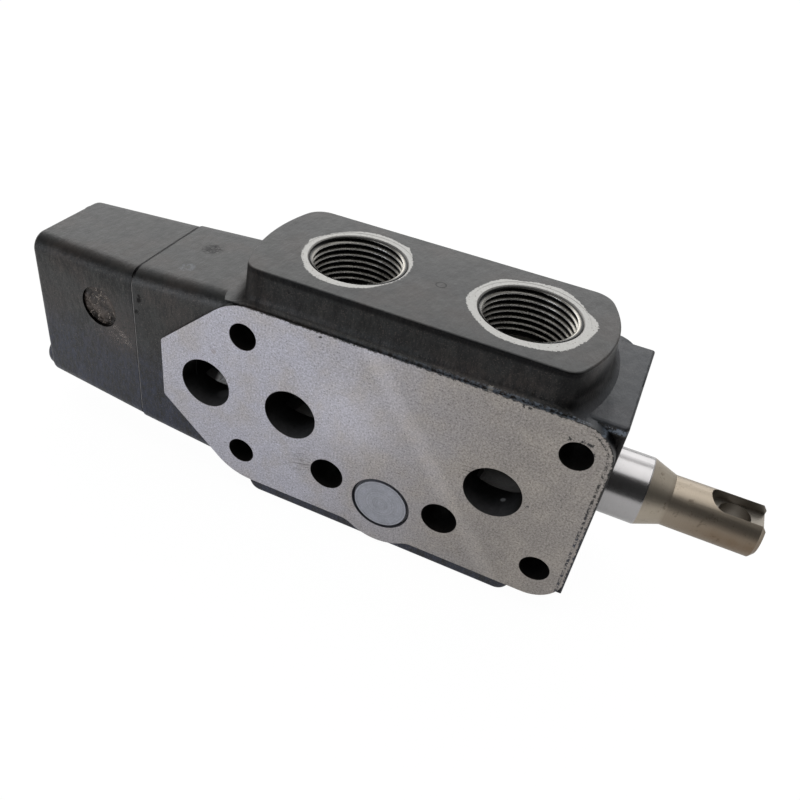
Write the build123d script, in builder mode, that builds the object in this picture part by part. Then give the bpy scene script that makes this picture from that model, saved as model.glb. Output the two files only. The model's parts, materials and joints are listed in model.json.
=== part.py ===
from build123d import *
import os
from math import cos, pi, radians, sin, sqrt, tan

# All sizes are in millimetres. The origin is the centre of the tie-rod pattern on the front
# ground face. +X runs along the spool towards its free end, +Y from the front ground face to
# the rear one, and +Z up towards the work ports.

# Section and its two ground faces
section_thickness = 55.7
face_proud = 3.7
face_left_height = 25.0
face_slope = 41.5
face_slope_radius = 22.0
face_point_radius = 2.0
face_corner_radius = 12.5
face_left_wall = 18.8
face_side_wall = 10.9
face_edge_wall = 12.5
face_floor_wall = 13.2
face_bulge_wall = 7.5
face_bulge_blend = 8.0
casting_inset = 0.8

# Tie rods
tie_rod_span = 116.0
tie_rod_rise = 52.0
tie_rod_hole = 10.5

# Oil galleries through both faces, and the chambers where they meet the spool
end_gallery_x = -73.4
left_gallery_x = -38.4
right_gallery_x = 37.2
gallery_bore = 20.0
chamber_bore = 34.0
chamber_length = 16.0
feed_bore = 13.0
feed_span = 44.0
feed_drop = 20.7

# Casting
neck_reach = 31.0
body_right_wall = 11.5
shoulder_step = 0.2
block_left_inset = 2.0
block_floor_inset = 1.5
block_corner = 1.0
block_edge = 1.6
block_flare = 0.9
foot_inset = 1.4
foot_left_inset = 2.5
foot_right_inset = 6.5
foot_step = 2.0
foot_corner = 5.0
foot_edge = 2.0

# Neck of the casting that carries the end cap
neck_front = 1.4
neck_margin = 0.4
neck_floor_margin = 0.7
neck_floor_draft = 0.1
neck_top_draft = 0.066
neck_radius_growth = 0.05

# Boss that carries the work ports
boss_rise = 13.65
boss_front = 2.0
boss_back = 54.4
boss_left_wall = 28.2
boss_left_bow = 5.4
boss_right_wall = 20.4
boss_right_bow = 7.6
boss_front_radius = 6.0
boss_back_radius = 8.2
boss_draft = 3.0
boss_blend = 6.0
boss_blend_sink = 0.7
boss_blend_steps = 4
boss_blend_reach = 2.9
boss_edge = 0.7

# Work ports
port_span = 60.0
port_bore = 33.25
port_depth = 22.0
port_mouth_chamfer = 0.6
port_ring_width = 2.475
port_ring_depth = 0.06
work_passage_span = 40.0
work_passage_bore = 11.0

# Spool and its bore
spool_bore = 24.0
running_clearance = 0.03
spool_neck = 15.0
spool_stroke = 7.0
land_overlap = 1.5
land_chamfer = 0.4
spool_shoulder_reach = 13.2
spool_cone_length = 7.9
shaft_diameter = 17.7
spool_tip_length = 37.5
tip_chamfer = 1.4

# Lever socket in the spool's free end
slot_width = 10.6
slot_floor = 3.7
slot_length = 18.2
socket_bore = 10.4
socket_setback = 9.2

# Seals about the spool
seal_groove_depth = 3.0
seal_groove_width = 3.6
seal_edge = 0.5
rear_seal_setback = 9.7
front_seal_setback = 10.8
wiper_groove_depth = 3.5
wiper_depth = 5.0
wiper_wall = 2.2
wiper_lip = 1.6
seal_clearance = 0.06

# End cap, tapered from its joint with the body to its far end
cap_end_wall = 5.2
cap_front = 1.5
cap_back = 50.8
cap_floor = 32.0
cap_top = 35.2
cap_front_radius = 6.4
cap_back_radius = 7.6
cap_floor_radius = 6.0
cap_end_radius = 2.6
cap_front_draft = 0.085
cap_back_draft = 0.054
cap_floor_draft = 0.035
cap_top_draft = 0.04
gasket_thickness = 0.6
gasket_inset = 0.2

# Centring assembly inside the cap
cavity_bore = 30.0
seat_stop_depth = 29.5
head_bore = 20.0
head_room = 1.0
seat_clearance = 1.0
seat_flange = 2.6
seat_spigot = 4.0
spring_outer = 25.0
spring_wire = 2.6
spring_turns = 4.5
spigot_clearance = 0.3
sleeve_outer = 12.0
tail_thread = 8.0
tail_thread_depth = 16.0
tail_head = 13.0
tail_head_height = 4.4
tail_socket = 6.0
tail_socket_depth = 2.6
tail_washer_clearance = 1.0
tail_washer_thickness = 1.6
slide_clearance = 0.1
face_clearance = 0.05
thread_clearance = 0.04

# Wire of both springs, as a polygon of this many sides
coil_sides = 8

# Cap screws, on a diagonal of the cap
cap_screw_offset_y = 13.7
cap_screw_offset_z = 24.2
cap_screw_thread = 8.0
cap_screw_hole = 9.0
cap_screw_depth = 16.0
cap_screw_head = 13.0
cap_screw_head_height = 4.4
cap_screw_dome = 3.0
cap_screw_socket = 5.0
cap_screw_socket_depth = 2.6
tapping_margin = 2.0

# Core plug in the cap's front
core_plug_setback = 16.9
core_plug_height = 14.2
core_plug_diameter = 16.2
core_plug_recess = 1.6
core_plug_thickness = 4.0
core_passage_bore = 5.0
core_passage_height = 11.5

# Load check behind the round plug in the front face
check_drop = 24.8
check_plug_bore = 22.4
check_plug_gap = 1.2
check_plug_depth = 6.0
check_seal_section = 2.0
check_seal_edge = 0.4
check_groove_width = 2.4
check_groove_setback = 1.4
check_plug_ledge = 1.0
check_chamber_depth = 31.0
check_seat_length = 6.0
check_seat_bore = 11.0
check_guide_length = 6.0
check_stem = 13.4
check_stem_length = 6.0
check_nose_length = 3.0
check_nose_taper = 2.4
check_clearance = 0.2
check_outlet_depth = 21.0
centre_passage_bore = 10.0
check_spring_outer = 12.0
check_spring_wire = 1.2
check_spring_turns = 6.0
check_pocket_depth = 5.0
check_pocket_wall = 0.4
supply_bore = 9.0
supply_wall = 3.0

# Seals on the rear ground face
large_seal_ledge = 4.5
small_seal_ledge = 3.0
face_seal_width = 2.6
face_seal_depth = 2.7
face_seal_clearance = 0.05
face_seal_edge = 0.5

# Places that follow from the sizes above
mid = section_thickness / 2
cast_front = face_proud
cast_back = section_thickness - face_proud
face_top = tie_rod_rise / 2 + face_edge_wall
face_floor = tie_rod_rise / 2 + face_floor_wall
face_left = end_gallery_x - face_left_wall
face_right = tie_rod_span / 2 + face_side_wall
gallery_places = [(x, 0) for x in (end_gallery_x, left_gallery_x, right_gallery_x)]
feed_places = [(side * feed_span / 2, -feed_drop) for side in (-1, 1)]
large_seal_bore = gallery_bore + 2 * large_seal_ledge
small_seal_bore = feed_bore + 2 * small_seal_ledge
check_place = (0, -check_drop)
check_plug_diameter = check_plug_bore - 2 * check_plug_gap
check_chamber_bore = check_plug_diameter - 2 * check_plug_ledge
bulge_radius = check_plug_bore / 2 + face_bulge_wall
joint_x = end_gallery_x - neck_reach
body_right = tie_rod_span / 2 + body_right_wall
shoulder_height = face_top + shoulder_step
block_left = tie_rod_span / 2 - block_left_inset
block_floor = face_floor - block_floor_inset
foot_left = tie_rod_span / 2 - foot_left_inset
foot_right = tie_rod_span / 2 - foot_right_inset
foot_floor = check_drop + bulge_radius + foot_step
boss_height = shoulder_height + boss_rise
boss_blend_foot = shoulder_height - boss_blend_sink
boss_left = port_span / 2 + boss_left_wall
boss_right = port_span / 2 + boss_right_wall
boss_envelope = 2 * (boss_left + boss_left_bow + 2 * boss_blend)
port_bottom = boss_height - port_depth
port_ring = port_bore + 2 * port_ring_width
spool_radius = spool_bore / 2 - running_clearance
spool_shoulder_x = body_right + spool_shoulder_reach
spool_tip_x = spool_shoulder_x + spool_tip_length
seal_groove_bore = spool_bore + 2 * seal_groove_depth
wiper_bore = spool_bore + 2 * wiper_groove_depth
rear_seal_x = joint_x + rear_seal_setback
front_seal_x = body_right - front_seal_setback
cap_joint_x = joint_x - gasket_thickness
seat_stop_x = cap_joint_x - seat_stop_depth
seat_diameter = cavity_bore - 2 * seat_clearance
washer_end_x = seat_stop_x - tail_washer_thickness
head_end_x = washer_end_x - tail_head_height - spool_stroke - head_room
cap_end_x = head_end_x - cap_end_wall
cap_length = cap_joint_x - cap_end_x
cap_screw_places = [(mid + side * cap_screw_offset_y, side * cap_screw_offset_z) for side in (-1, 1)]
spool_axis = Axis((0, mid, 0), (1, 0, 0))
spool_plane = Plane(origin=(0, mid, 0), x_dir=(1, 0, 0), z_dir=(0, -1, 0))


def front_plane(y):
    """Plane at the depth y that faces the front, with X across and Z up."""
    return Plane.XZ.offset(-y)


def cross_plane(x):
    """Plane across the spool at the station x, with Y across and Z up."""
    return Plane.YZ.offset(x)


def turned_profile(stretches):
    """Half section about the spool axis, from (start, end, radius) stretches."""
    for start, end, radius in stretches:
        with Locations(((start + end) / 2, radius / 2)):
            Rectangle(abs(end - start), radius)


def rounded_section(x, front, back, floor, top, back_radius):
    """Cross section of the cap or neck at the station x, with its cast corners."""
    with BuildSketch(cross_plane(x)) as section:
        with BuildLine():
            Polyline((front, floor), (front, top), (back, top), (back, floor), close=True)
        make_face()
        fillet(section.vertices().group_by(Axis.Y)[0], cap_floor_radius)
        fillet(section.vertices().group_by(Axis.Y)[-1].sort_by(Axis.X)[0], cap_front_radius)
        fillet(section.vertices().group_by(Axis.Y)[-1].sort_by(Axis.X)[-1], back_radius)
    return section.sketch


def block_section(y, right):
    """Section of the casting's block at the depth y, with its right wall."""
    with BuildSketch(front_plane(y)) as section:
        with Locations(((right - block_left) / 2, (shoulder_height - block_floor) / 2)):
            Rectangle(right + block_left, shoulder_height + block_floor)
        fillet(section.vertices().group_by(Axis.Y)[-1].sort_by(Axis.X)[-1], block_corner)
    return section.sketch


def cap_section(distance):
    """Cross section of the cap at a distance from its joint."""
    return rounded_section(
        cap_joint_x - distance,
        cap_front + cap_front_draft * distance,
        cap_back - cap_back_draft * distance,
        -cap_floor + cap_floor_draft * distance,
        cap_top - cap_top_draft * distance,
        cap_back_radius,
    )


def neck_section(distance):
    """Cross section of the neck at a distance from its joint, towards the body."""
    return rounded_section(
        joint_x + distance,
        neck_front,
        cap_back + neck_margin + cap_back_draft * distance,
        -cap_floor - neck_floor_margin - neck_floor_draft * distance,
        cap_top + neck_margin + neck_top_draft * distance,
        cap_back_radius + neck_radius_growth * distance,
    )


def boss_section(height, growth):
    """Outline of the port boss at a height, larger all round by the growth."""
    front = boss_front - growth
    back = boss_back + growth
    left = -boss_left - growth
    right = boss_right + growth
    with BuildSketch(Plane.XY.offset(height)) as section:
        with BuildLine():
            Line((left, front), (right, front))
            ThreePointArc((right, front), (right + boss_right_bow, mid), (right, back))
            Line((right, back), (left, back))
            ThreePointArc((left, back), (left - boss_left_bow, mid), (left, front))
        make_face()
        fillet(section.vertices().group_by(Axis.Y)[0], boss_front_radius + growth)
        fillet(section.vertices().group_by(Axis.Y)[-1], boss_back_radius + growth)
    return section.sketch


def spool_ring(x):
    """Seal ring of rounded square section about the spool, in a groove of its bore."""
    inner = spool_radius + seal_clearance
    outer = seal_groove_bore / 2 - seal_clearance
    with BuildPart() as ring:
        with BuildSketch(spool_plane):
            with Locations((x, (inner + outer) / 2)):
                section = Rectangle(seal_groove_width - 2 * seal_clearance, outer - inner)
            chamfer(section.vertices(), seal_edge)
        revolve(axis=spool_axis)
    return ring


def face_rings(places, bore):
    """Seal rings of rounded square section in the counterbores of the rear ground face."""
    outer = bore / 2 - face_seal_clearance
    with BuildPart() as rings:
        with BuildSketch(front_plane(section_thickness - face_seal_clearance)):
            with Locations(*places):
                Circle(outer)
                Circle(outer - face_seal_width, mode=Mode.SUBTRACT)
        extrude(amount=face_seal_depth - 2 * face_seal_clearance)
        chamfer(rings.edges().filter_by(GeomType.CIRCLE), face_seal_edge)
    return rings


def coil(start, direction, outer, wire, turns, length):
    """Open coil spring from its start along the direction."""
    height = length - wire
    with BuildPart() as spring:
        with BuildLine() as path:
            Helix(height / turns, height, (outer - wire) / 2, center=start, direction=direction)
        with BuildSketch(Plane(origin=path.line @ 0, z_dir=path.line % 0)):
            RegularPolygon(wire / 2, coil_sides)
        sweep(path=path.line, is_frenet=True)
    return spring


# Outline of the ground faces: five sides, with a bulge below the load check
slope_run = tan(radians(face_slope))
face_half = face_left_height / 2
slope_top_x = face_left + (face_top - face_half) / slope_run
slope_floor_x = face_left + (face_floor - face_half) / slope_run

with BuildSketch() as face_outline:
    with BuildLine():
        Polyline(
            (face_left, -face_half),
            (face_left, face_half),
            (slope_top_x, face_top),
            (face_right, face_top),
            (face_right, -face_floor),
            (slope_floor_x, -face_floor),
            close=True,
        )
    make_face()
    fillet(face_outline.vertices().sort_by(Axis.X)[2:4], face_slope_radius)
    fillet(face_outline.vertices().group_by(Axis.X)[0], face_point_radius)
    fillet(face_outline.vertices().group_by(Axis.X)[-1], face_corner_radius)
    bulge_reach = sqrt(bulge_radius**2 - (face_floor - check_drop) ** 2)
    with Locations(check_place):
        Circle(bulge_radius)
    bulge_ends = face_outline.vertices().filter_by_position(Axis.X, -bulge_reach - 1, bulge_reach + 1)
    fillet(bulge_ends, face_bulge_blend)

# Block of the casting, whose right wall flares to the rear
with BuildPart() as block:
    add(block_section(cast_front, body_right))
    add(block_section(cast_back, body_right + block_flare))
    loft(ruled=True)
    fillet(block.faces().sort_by(Axis.Y)[0].edges(), block_edge)

# Foot that the section stands on
with BuildPart() as foot:
    with BuildSketch(front_plane(section_thickness - foot_inset)):
        with Locations(((foot_right - foot_left) / 2, -foot_floor / 2)):
            Rectangle(foot_right + foot_left, foot_floor)
    extrude(amount=section_thickness - 2 * foot_inset)
    fillet(foot.edges().filter_by(Axis.Y).group_by(Axis.Z)[0], foot_corner)
    fillet(foot.faces().sort_by(Axis.Z)[0].edges().filter_by(Axis.X), foot_edge)

# Port boss, with draft and a hollow blend into the casting
blend_growth = (boss_height - boss_blend_foot - boss_blend) * tan(radians(boss_draft))
with BuildPart() as boss:
    add(boss_section(boss_height, 0))
    add(boss_section(boss_blend_foot + boss_blend, blend_growth))
    loft(ruled=True)
    fillet(boss.faces().sort_by(Axis.Z)[-1].edges(), boss_edge)
    for step in range(boss_blend_steps + 1):
        turn = step / boss_blend_steps * pi / 2
        height = boss_blend_foot + boss_blend * (1 - sin(turn))
        add(boss_section(height, blend_growth + boss_blend * (1 - cos(turn))))
    loft()
    blend_depth = cast_back - cast_front + 2 * boss_blend_reach
    with Locations((0, mid, boss_blend_foot)):
        Box(boss_envelope, blend_depth, 2 * boss_height, mode=Mode.INTERSECT)

with BuildPart() as valve_body:
    # Casting behind the ground faces, then the ground faces themselves
    with BuildSketch(front_plane(cast_back)):
        add(face_outline.sketch)
        offset(amount=-casting_inset)
    extrude(amount=cast_back - cast_front)
    add(block.part)
    add(foot.part)
    add(neck_section(0))
    add(neck_section(-joint_x - block_left))
    loft(ruled=True)
    add(boss.part)
    with BuildSketch(front_plane(section_thickness)):
        add(face_outline.sketch)
    extrude(amount=face_proud)
    with BuildSketch(front_plane(cast_front)):
        add(face_outline.sketch)
    extrude(amount=face_proud)

    # Holes through both faces
    with BuildSketch(front_plane(section_thickness)):
        with GridLocations(tie_rod_span, tie_rod_rise, 2, 2):
            Circle(tie_rod_hole / 2)
        with Locations(*gallery_places):
            Circle(gallery_bore / 2)
        with Locations(*feed_places):
            Circle(feed_bore / 2)
    extrude(amount=section_thickness, mode=Mode.SUBTRACT)

    # Counterbores for the rear face seals
    with BuildSketch(front_plane(section_thickness)):
        with Locations(*gallery_places):
            Circle(large_seal_bore / 2)
        with Locations(*feed_places):
            Circle(small_seal_bore / 2)
    extrude(amount=face_seal_depth, mode=Mode.SUBTRACT)

    # Spool bore with its chambers, seal grooves and wiper recess
    with BuildSketch(spool_plane):
        turned_profile([(joint_x, body_right + block_flare, spool_bore / 2)])
        turned_profile(
            [(x - chamber_length / 2, x + chamber_length / 2, chamber_bore / 2) for x, z in gallery_places]
        )
        turned_profile(
            [
                (x - seal_groove_width / 2, x + seal_groove_width / 2, seal_groove_bore / 2)
                for x in (rear_seal_x, front_seal_x)
            ]
        )
        turned_profile([(body_right - wiper_depth, body_right + block_flare, wiper_bore / 2)])
    revolve(axis=spool_axis, mode=Mode.SUBTRACT)

    # Work ports, each with its passage down to the spool
    with Locations(*[(side * port_span / 2, mid, boss_height) for side in (-1, 1)]):
        CounterBoreHole(port_bore / 2, port_ring / 2, port_ring_depth, port_depth)
    mouth_height = boss_height - port_ring_depth
    mouths = valve_body.edges().filter_by_position(Axis.Z, mouth_height - 0.01, mouth_height + 0.01)
    chamfer(mouths.sort_by(SortBy.RADIUS)[:2], port_mouth_chamfer)
    with Locations(*[(side * work_passage_span / 2, mid, port_bottom) for side in (-1, 1)]):
        Hole(work_passage_bore / 2, port_bottom)

    # Load check: plug recess, chamber, supply across to both feed holes, and outlet to the spool
    supply_depth = check_chamber_depth + supply_wall + supply_bore / 2
    for bore, depth in (
        (check_plug_bore, check_plug_depth),
        (check_chamber_bore, check_chamber_depth),
        (supply_bore, supply_depth),
    ):
        with BuildSketch(front_plane(depth)):
            with Locations(check_place):
                Circle(bore / 2)
        extrude(amount=depth, mode=Mode.SUBTRACT)
    with Locations(Location((0, supply_depth, -check_drop), (0, 90, 0))):
        Cylinder(supply_bore / 2, feed_span, mode=Mode.SUBTRACT)
    with Locations((0, check_outlet_depth, 0)):
        Hole(centre_passage_bore / 2, check_drop)

    # Tapped holes for the cap screws
    with BuildSketch(cross_plane(joint_x)):
        with Locations(*cap_screw_places):
            Circle(cap_screw_thread / 2)
    extrude(amount=cap_screw_depth + tapping_margin, mode=Mode.SUBTRACT)

# Spool: lands between the chambers, then the shoulder, cone and shaft outside the body
neck_half = chamber_length / 2 + land_overlap
land_near = work_passage_span / 2 - work_passage_bore / 2 - land_overlap
land_far = work_passage_span / 2 + work_passage_bore / 2 + land_overlap
lands = [
    (joint_x, end_gallery_x - neck_half),
    (end_gallery_x + neck_half, left_gallery_x - neck_half),
    (-land_far, -land_near),
    (land_near, land_far),
    (right_gallery_x + neck_half, spool_shoulder_x),
]
cone_end_x = spool_shoulder_x + spool_cone_length
shaft_radius = shaft_diameter / 2
slot_end_x = spool_tip_x - slot_length + slot_width / 2
with BuildPart() as spool:
    with BuildSketch(spool_plane):
        turned_profile([(joint_x, spool_shoulder_x, spool_neck / 2)])
        for start, end in lands:
            with BuildLine():
                Polyline(
                    (start, 0),
                    (start, spool_radius - land_chamfer),
                    (start + land_chamfer, spool_radius),
                    (end - land_chamfer, spool_radius),
                    (end, spool_radius - land_chamfer),
                    (end, 0),
                    close=True,
                )
            make_face()
        with BuildLine():
            Polyline(
                (spool_shoulder_x - land_chamfer, 0),
                (spool_shoulder_x - land_chamfer, spool_radius),
                (spool_shoulder_x, spool_radius - land_chamfer / 4),
                (cone_end_x, shaft_radius),
                (spool_tip_x - tip_chamfer, shaft_radius),
                (spool_tip_x, shaft_radius - tip_chamfer),
                (spool_tip_x, 0),
                close=True,
            )
        make_face()
    revolve(axis=spool_axis)

    # Open slot and round socket for the lever's ball
    with BuildSketch(Plane.XY.offset(slot_floor)):
        with Locations((slot_end_x, mid)):
            Circle(slot_width / 2)
        with Locations(((slot_end_x + spool_tip_x) / 2, mid)):
            Rectangle(spool_tip_x - slot_end_x, slot_width)
    extrude(amount=shaft_radius, mode=Mode.SUBTRACT)
    with Locations((spool_tip_x - socket_setback, mid, slot_floor)):
        Hole(socket_bore / 2, slot_floor + shaft_radius)

    # Tapped hole for the tail screw
    with BuildSketch(cross_plane(joint_x)):
        with Locations((mid, 0)):
            Circle(tail_thread / 2)
    extrude(amount=tail_thread_depth + tapping_margin, mode=Mode.SUBTRACT)

rear_spool_seal = spool_ring(rear_seal_x)
front_spool_seal = spool_ring(front_seal_x)

# Wiper: a ring in the recess of the body's right end, with a thin lip on the spool
wiper_start = body_right - wiper_depth + seal_clearance
wiper_outer = wiper_bore / 2 - seal_clearance
wiper_inner = spool_radius + seal_clearance
with BuildPart() as rod_wiper:
    with BuildSketch(spool_plane):
        with BuildLine():
            Polyline(
                (wiper_start, wiper_inner + wiper_lip),
                (wiper_start, wiper_outer),
                (body_right, wiper_outer),
                (body_right, wiper_outer - wiper_wall),
                (body_right - wiper_lip, wiper_inner + wiper_lip),
                (body_right, wiper_inner),
                (body_right - wiper_depth / 2, wiper_inner),
                close=True,
            )
        make_face()
    revolve(axis=spool_axis)

# Gasket between the neck and the cap, a little smaller than both
with BuildPart() as end_cap_gasket:
    gasket_outline = rounded_section(
        cap_joint_x,
        cap_front + gasket_inset,
        cap_back - gasket_inset,
        gasket_inset - cap_floor,
        cap_top - gasket_inset,
        cap_back_radius,
    )
    extrude(gasket_outline, amount=gasket_thickness)
    with BuildSketch(cross_plane(cap_joint_x)):
        with Locations((mid, 0)):
            Circle(cavity_bore / 2)
        with Locations(*cap_screw_places):
            Circle(cap_screw_hole / 2)
    extrude(amount=gasket_thickness, mode=Mode.SUBTRACT)

# End cap: a tapered hollow casting with a stop shoulder for the outer spring seat
core_plug_x = cap_joint_x - core_plug_setback
core_plug_face = cap_front + cap_front_draft * core_plug_setback + core_plug_recess
with BuildPart() as end_cap:
    add(cap_section(0))
    add(cap_section(cap_length))
    loft(ruled=True)
    fillet(end_cap.faces().sort_by(Axis.X)[0].edges(), cap_end_radius)
    with BuildSketch(spool_plane):
        turned_profile([(seat_stop_x, cap_joint_x, cavity_bore / 2)])
        turned_profile([(head_end_x, seat_stop_x, head_bore / 2)])
    revolve(axis=spool_axis, mode=Mode.SUBTRACT)
    with BuildSketch(cross_plane(cap_end_x)):
        with Locations(*cap_screw_places):
            Circle(cap_screw_hole / 2)
    extrude(amount=cap_length, mode=Mode.SUBTRACT)
    with BuildSketch(front_plane(core_plug_face + core_plug_thickness)):
        with Locations((core_plug_x, core_plug_height)):
            Circle(core_plug_diameter / 2)
    extrude(amount=core_plug_face + core_plug_thickness, mode=Mode.SUBTRACT)
    with BuildSketch(front_plane(mid)):
        with Locations((core_plug_x, core_passage_height)):
            Circle(core_passage_bore / 2)
    extrude(amount=mid - core_plug_face, mode=Mode.SUBTRACT)

with BuildPart() as cap_core_plug:
    with BuildSketch(front_plane(core_plug_face + core_plug_thickness)):
        with Locations((core_plug_x, core_plug_height)):
            Circle(core_plug_diameter / 2)
    extrude(amount=core_plug_thickness)

# Cap screws with low round heads and a hexagon socket
with BuildPart() as end_cap_bolts:
    with BuildSketch(cross_plane(cap_end_x)):
        with Locations(*cap_screw_places):
            Circle(cap_screw_head / 2)
    extrude(amount=-cap_screw_head_height)
    fillet(end_cap_bolts.faces().group_by(Axis.X)[0].edges(), cap_screw_dome)
    with BuildSketch(cross_plane(cap_end_x - cap_screw_head_height)):
        with Locations(*cap_screw_places):
            RegularPolygon(cap_screw_socket / 2, 6, major_radius=False)
    extrude(amount=cap_screw_socket_depth, mode=Mode.SUBTRACT)
    with BuildSketch(cross_plane(cap_end_x)):
        with Locations(*cap_screw_places):
            Circle(cap_screw_thread / 2 - thread_clearance)
    extrude(amount=cap_length + gasket_thickness + cap_screw_depth)

# Centring assembly: sleeve, washer and screw on the spool's tail
with BuildPart() as spring_sleeve:
    with BuildSketch(cross_plane(seat_stop_x)):
        with Locations((mid, 0)):
            Circle(sleeve_outer / 2)
            Circle(tail_thread / 2 + slide_clearance, mode=Mode.SUBTRACT)
    extrude(amount=joint_x - seat_stop_x)

with BuildPart() as tail_washer:
    with BuildSketch(cross_plane(washer_end_x)):
        with Locations((mid, 0)):
            Circle(head_bore / 2 - tail_washer_clearance)
            Circle(tail_thread / 2 + slide_clearance, mode=Mode.SUBTRACT)
    extrude(amount=tail_washer_thickness)

with BuildPart() as spool_tail_screw:
    with BuildSketch(cross_plane(washer_end_x)):
        with Locations((mid, 0)):
            Circle(tail_head / 2)
    extrude(amount=-tail_head_height)
    with BuildSketch(cross_plane(washer_end_x - tail_head_height)):
        with Locations((mid, 0)):
            RegularPolygon(tail_socket / 2, 6, major_radius=False)
    extrude(amount=tail_socket_depth, mode=Mode.SUBTRACT)
    with BuildSketch(cross_plane(washer_end_x)):
        with Locations((mid, 0)):
            Circle(tail_thread / 2 - thread_clearance)
    extrude(amount=joint_x - washer_end_x + tail_thread_depth)

# Spring seats: flanged rings on the sleeve, one against the body and one against the cap
inner_seat_x = joint_x - face_clearance
outer_seat_x = seat_stop_x + face_clearance
spigot_radius = spring_outer / 2 - spring_wire - spigot_clearance
with BuildPart() as inner_spring_seat:
    with BuildSketch(cross_plane(inner_seat_x)):
        with Locations((mid, 0)):
            Circle(seat_diameter / 2)
    extrude(amount=-seat_flange)
    with BuildSketch(cross_plane(inner_seat_x - seat_flange)):
        with Locations((mid, 0)):
            Circle(spigot_radius)
    extrude(amount=-seat_spigot)
    with Locations(Location((inner_seat_x, mid, 0), (0, 90, 0))):
        Hole(sleeve_outer / 2 + slide_clearance)

with BuildPart() as outer_spring_seat:
    with BuildSketch(cross_plane(outer_seat_x)):
        with Locations((mid, 0)):
            Circle(seat_diameter / 2)
    extrude(amount=seat_flange)
    with BuildSketch(cross_plane(outer_seat_x + seat_flange)):
        with Locations((mid, 0)):
            Circle(spigot_radius)
    extrude(amount=seat_spigot)
    with Locations(Location((outer_seat_x, mid, 0), (0, 90, 0))):
        Hole(sleeve_outer / 2 + slide_clearance)

centring_spring = coil(
    (inner_seat_x - seat_flange - face_clearance - spring_wire / 2, mid, 0),
    (-1, 0, 0),
    spring_outer,
    spring_wire,
    spring_turns,
    inner_seat_x - outer_seat_x - 2 * (seat_flange + face_clearance),
)

# Load check: plug and ring, seat, poppet and spring
with BuildPart() as load_check_plug:
    with BuildSketch(front_plane(check_plug_depth)):
        with Locations(check_place):
            Circle(check_plug_diameter / 2)
    extrude(amount=check_plug_depth)
    groove_radius = check_plug_bore / 2 - check_seal_section - 2 * seal_clearance
    with BuildSketch(front_plane(check_groove_setback + check_groove_width)):
        with Locations(check_place):
            Circle(check_plug_diameter / 2)
            Circle(groove_radius, mode=Mode.SUBTRACT)
    extrude(amount=check_groove_width, mode=Mode.SUBTRACT)

with BuildPart() as load_check_plug_seal:
    with BuildSketch(front_plane(check_groove_setback + check_groove_width - seal_clearance)):
        with Locations(check_place):
            Circle(groove_radius + seal_clearance + check_seal_section)
            Circle(groove_radius + seal_clearance, mode=Mode.SUBTRACT)
    extrude(amount=check_groove_width - 2 * seal_clearance)
    chamfer(load_check_plug_seal.edges().filter_by(GeomType.CIRCLE), check_seal_edge)

seat_face = check_chamber_depth - check_seat_length
with BuildPart() as load_check_seat:
    with BuildSketch(front_plane(check_chamber_depth)):
        with Locations(check_place):
            Circle(check_chamber_bore / 2)
            Circle(check_seat_bore / 2, mode=Mode.SUBTRACT)
    extrude(amount=check_seat_length)

poppet_back = seat_face - face_clearance
poppet_front = poppet_back - check_stem_length - check_guide_length
pocket_radius = check_spring_outer / 2 + check_pocket_wall
with BuildPart() as load_check_poppet:
    with BuildSketch(front_plane(poppet_front + check_guide_length)):
        with Locations(check_place):
            Circle(check_chamber_bore / 2 - check_clearance)
    extrude(amount=check_guide_length)
    with BuildSketch(front_plane(poppet_back)):
        with Locations(check_place):
            Circle(check_stem / 2)
    extrude(amount=check_stem_length)
    with BuildSketch(front_plane(poppet_back)):
        with Locations(check_place):
            Circle(check_seat_bore / 2 - check_clearance)
    with BuildSketch(front_plane(poppet_back + check_nose_length)):
        with Locations(check_place):
            Circle(check_seat_bore / 2 - check_clearance - check_nose_taper)
    loft()
    with BuildSketch(front_plane(poppet_front + check_pocket_depth)):
        with Locations(check_place):
            Circle(pocket_radius)
    extrude(amount=check_pocket_depth, mode=Mode.SUBTRACT)

load_check_spring = coil(
    (0, check_plug_depth + face_clearance + check_spring_wire / 2, -check_drop),
    (0, 1, 0),
    check_spring_outer,
    check_spring_wire,
    check_spring_turns,
    poppet_front + check_pocket_depth - check_plug_depth - 2 * face_clearance,
)

gallery_seals_large = face_rings(gallery_places, large_seal_bore)
gallery_seals_small = face_rings(feed_places, small_seal_bore)

pieces = {
    "valve_body": valve_body,
    "spool": spool,
    "rear_spool_seal": rear_spool_seal,
    "front_spool_seal": front_spool_seal,
    "rod_wiper": rod_wiper,
    "end_cap_gasket": end_cap_gasket,
    "end_cap": end_cap,
    "cap_core_plug": cap_core_plug,
    "end_cap_bolts": end_cap_bolts,
    "spring_sleeve": spring_sleeve,
    "tail_washer": tail_washer,
    "spool_tail_screw": spool_tail_screw,
    "inner_spring_seat": inner_spring_seat,
    "outer_spring_seat": outer_spring_seat,
    "centring_spring": centring_spring,
    "load_check_plug": load_check_plug,
    "load_check_plug_seal": load_check_plug_seal,
    "load_check_seat": load_check_seat,
    "load_check_poppet": load_check_poppet,
    "load_check_spring": load_check_spring,
    "gallery_seals_large": gallery_seals_large,
    "gallery_seals_small": gallery_seals_small,
}
os.makedirs("parts", exist_ok=True)
for label, piece in pieces.items():
    piece.part.label = label
    export_step(piece.part, f"parts/{label}.step")
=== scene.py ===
"""Looks of a directional valve section: paint, ground faces, port threads, light and camera."""

import json
import logging
import math
from dataclasses import dataclass
from enum import Enum
from functools import cached_property, reduce
from typing import Callable, Iterable, Sequence

import bpy
from mathutils import Matrix, Vector


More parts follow.
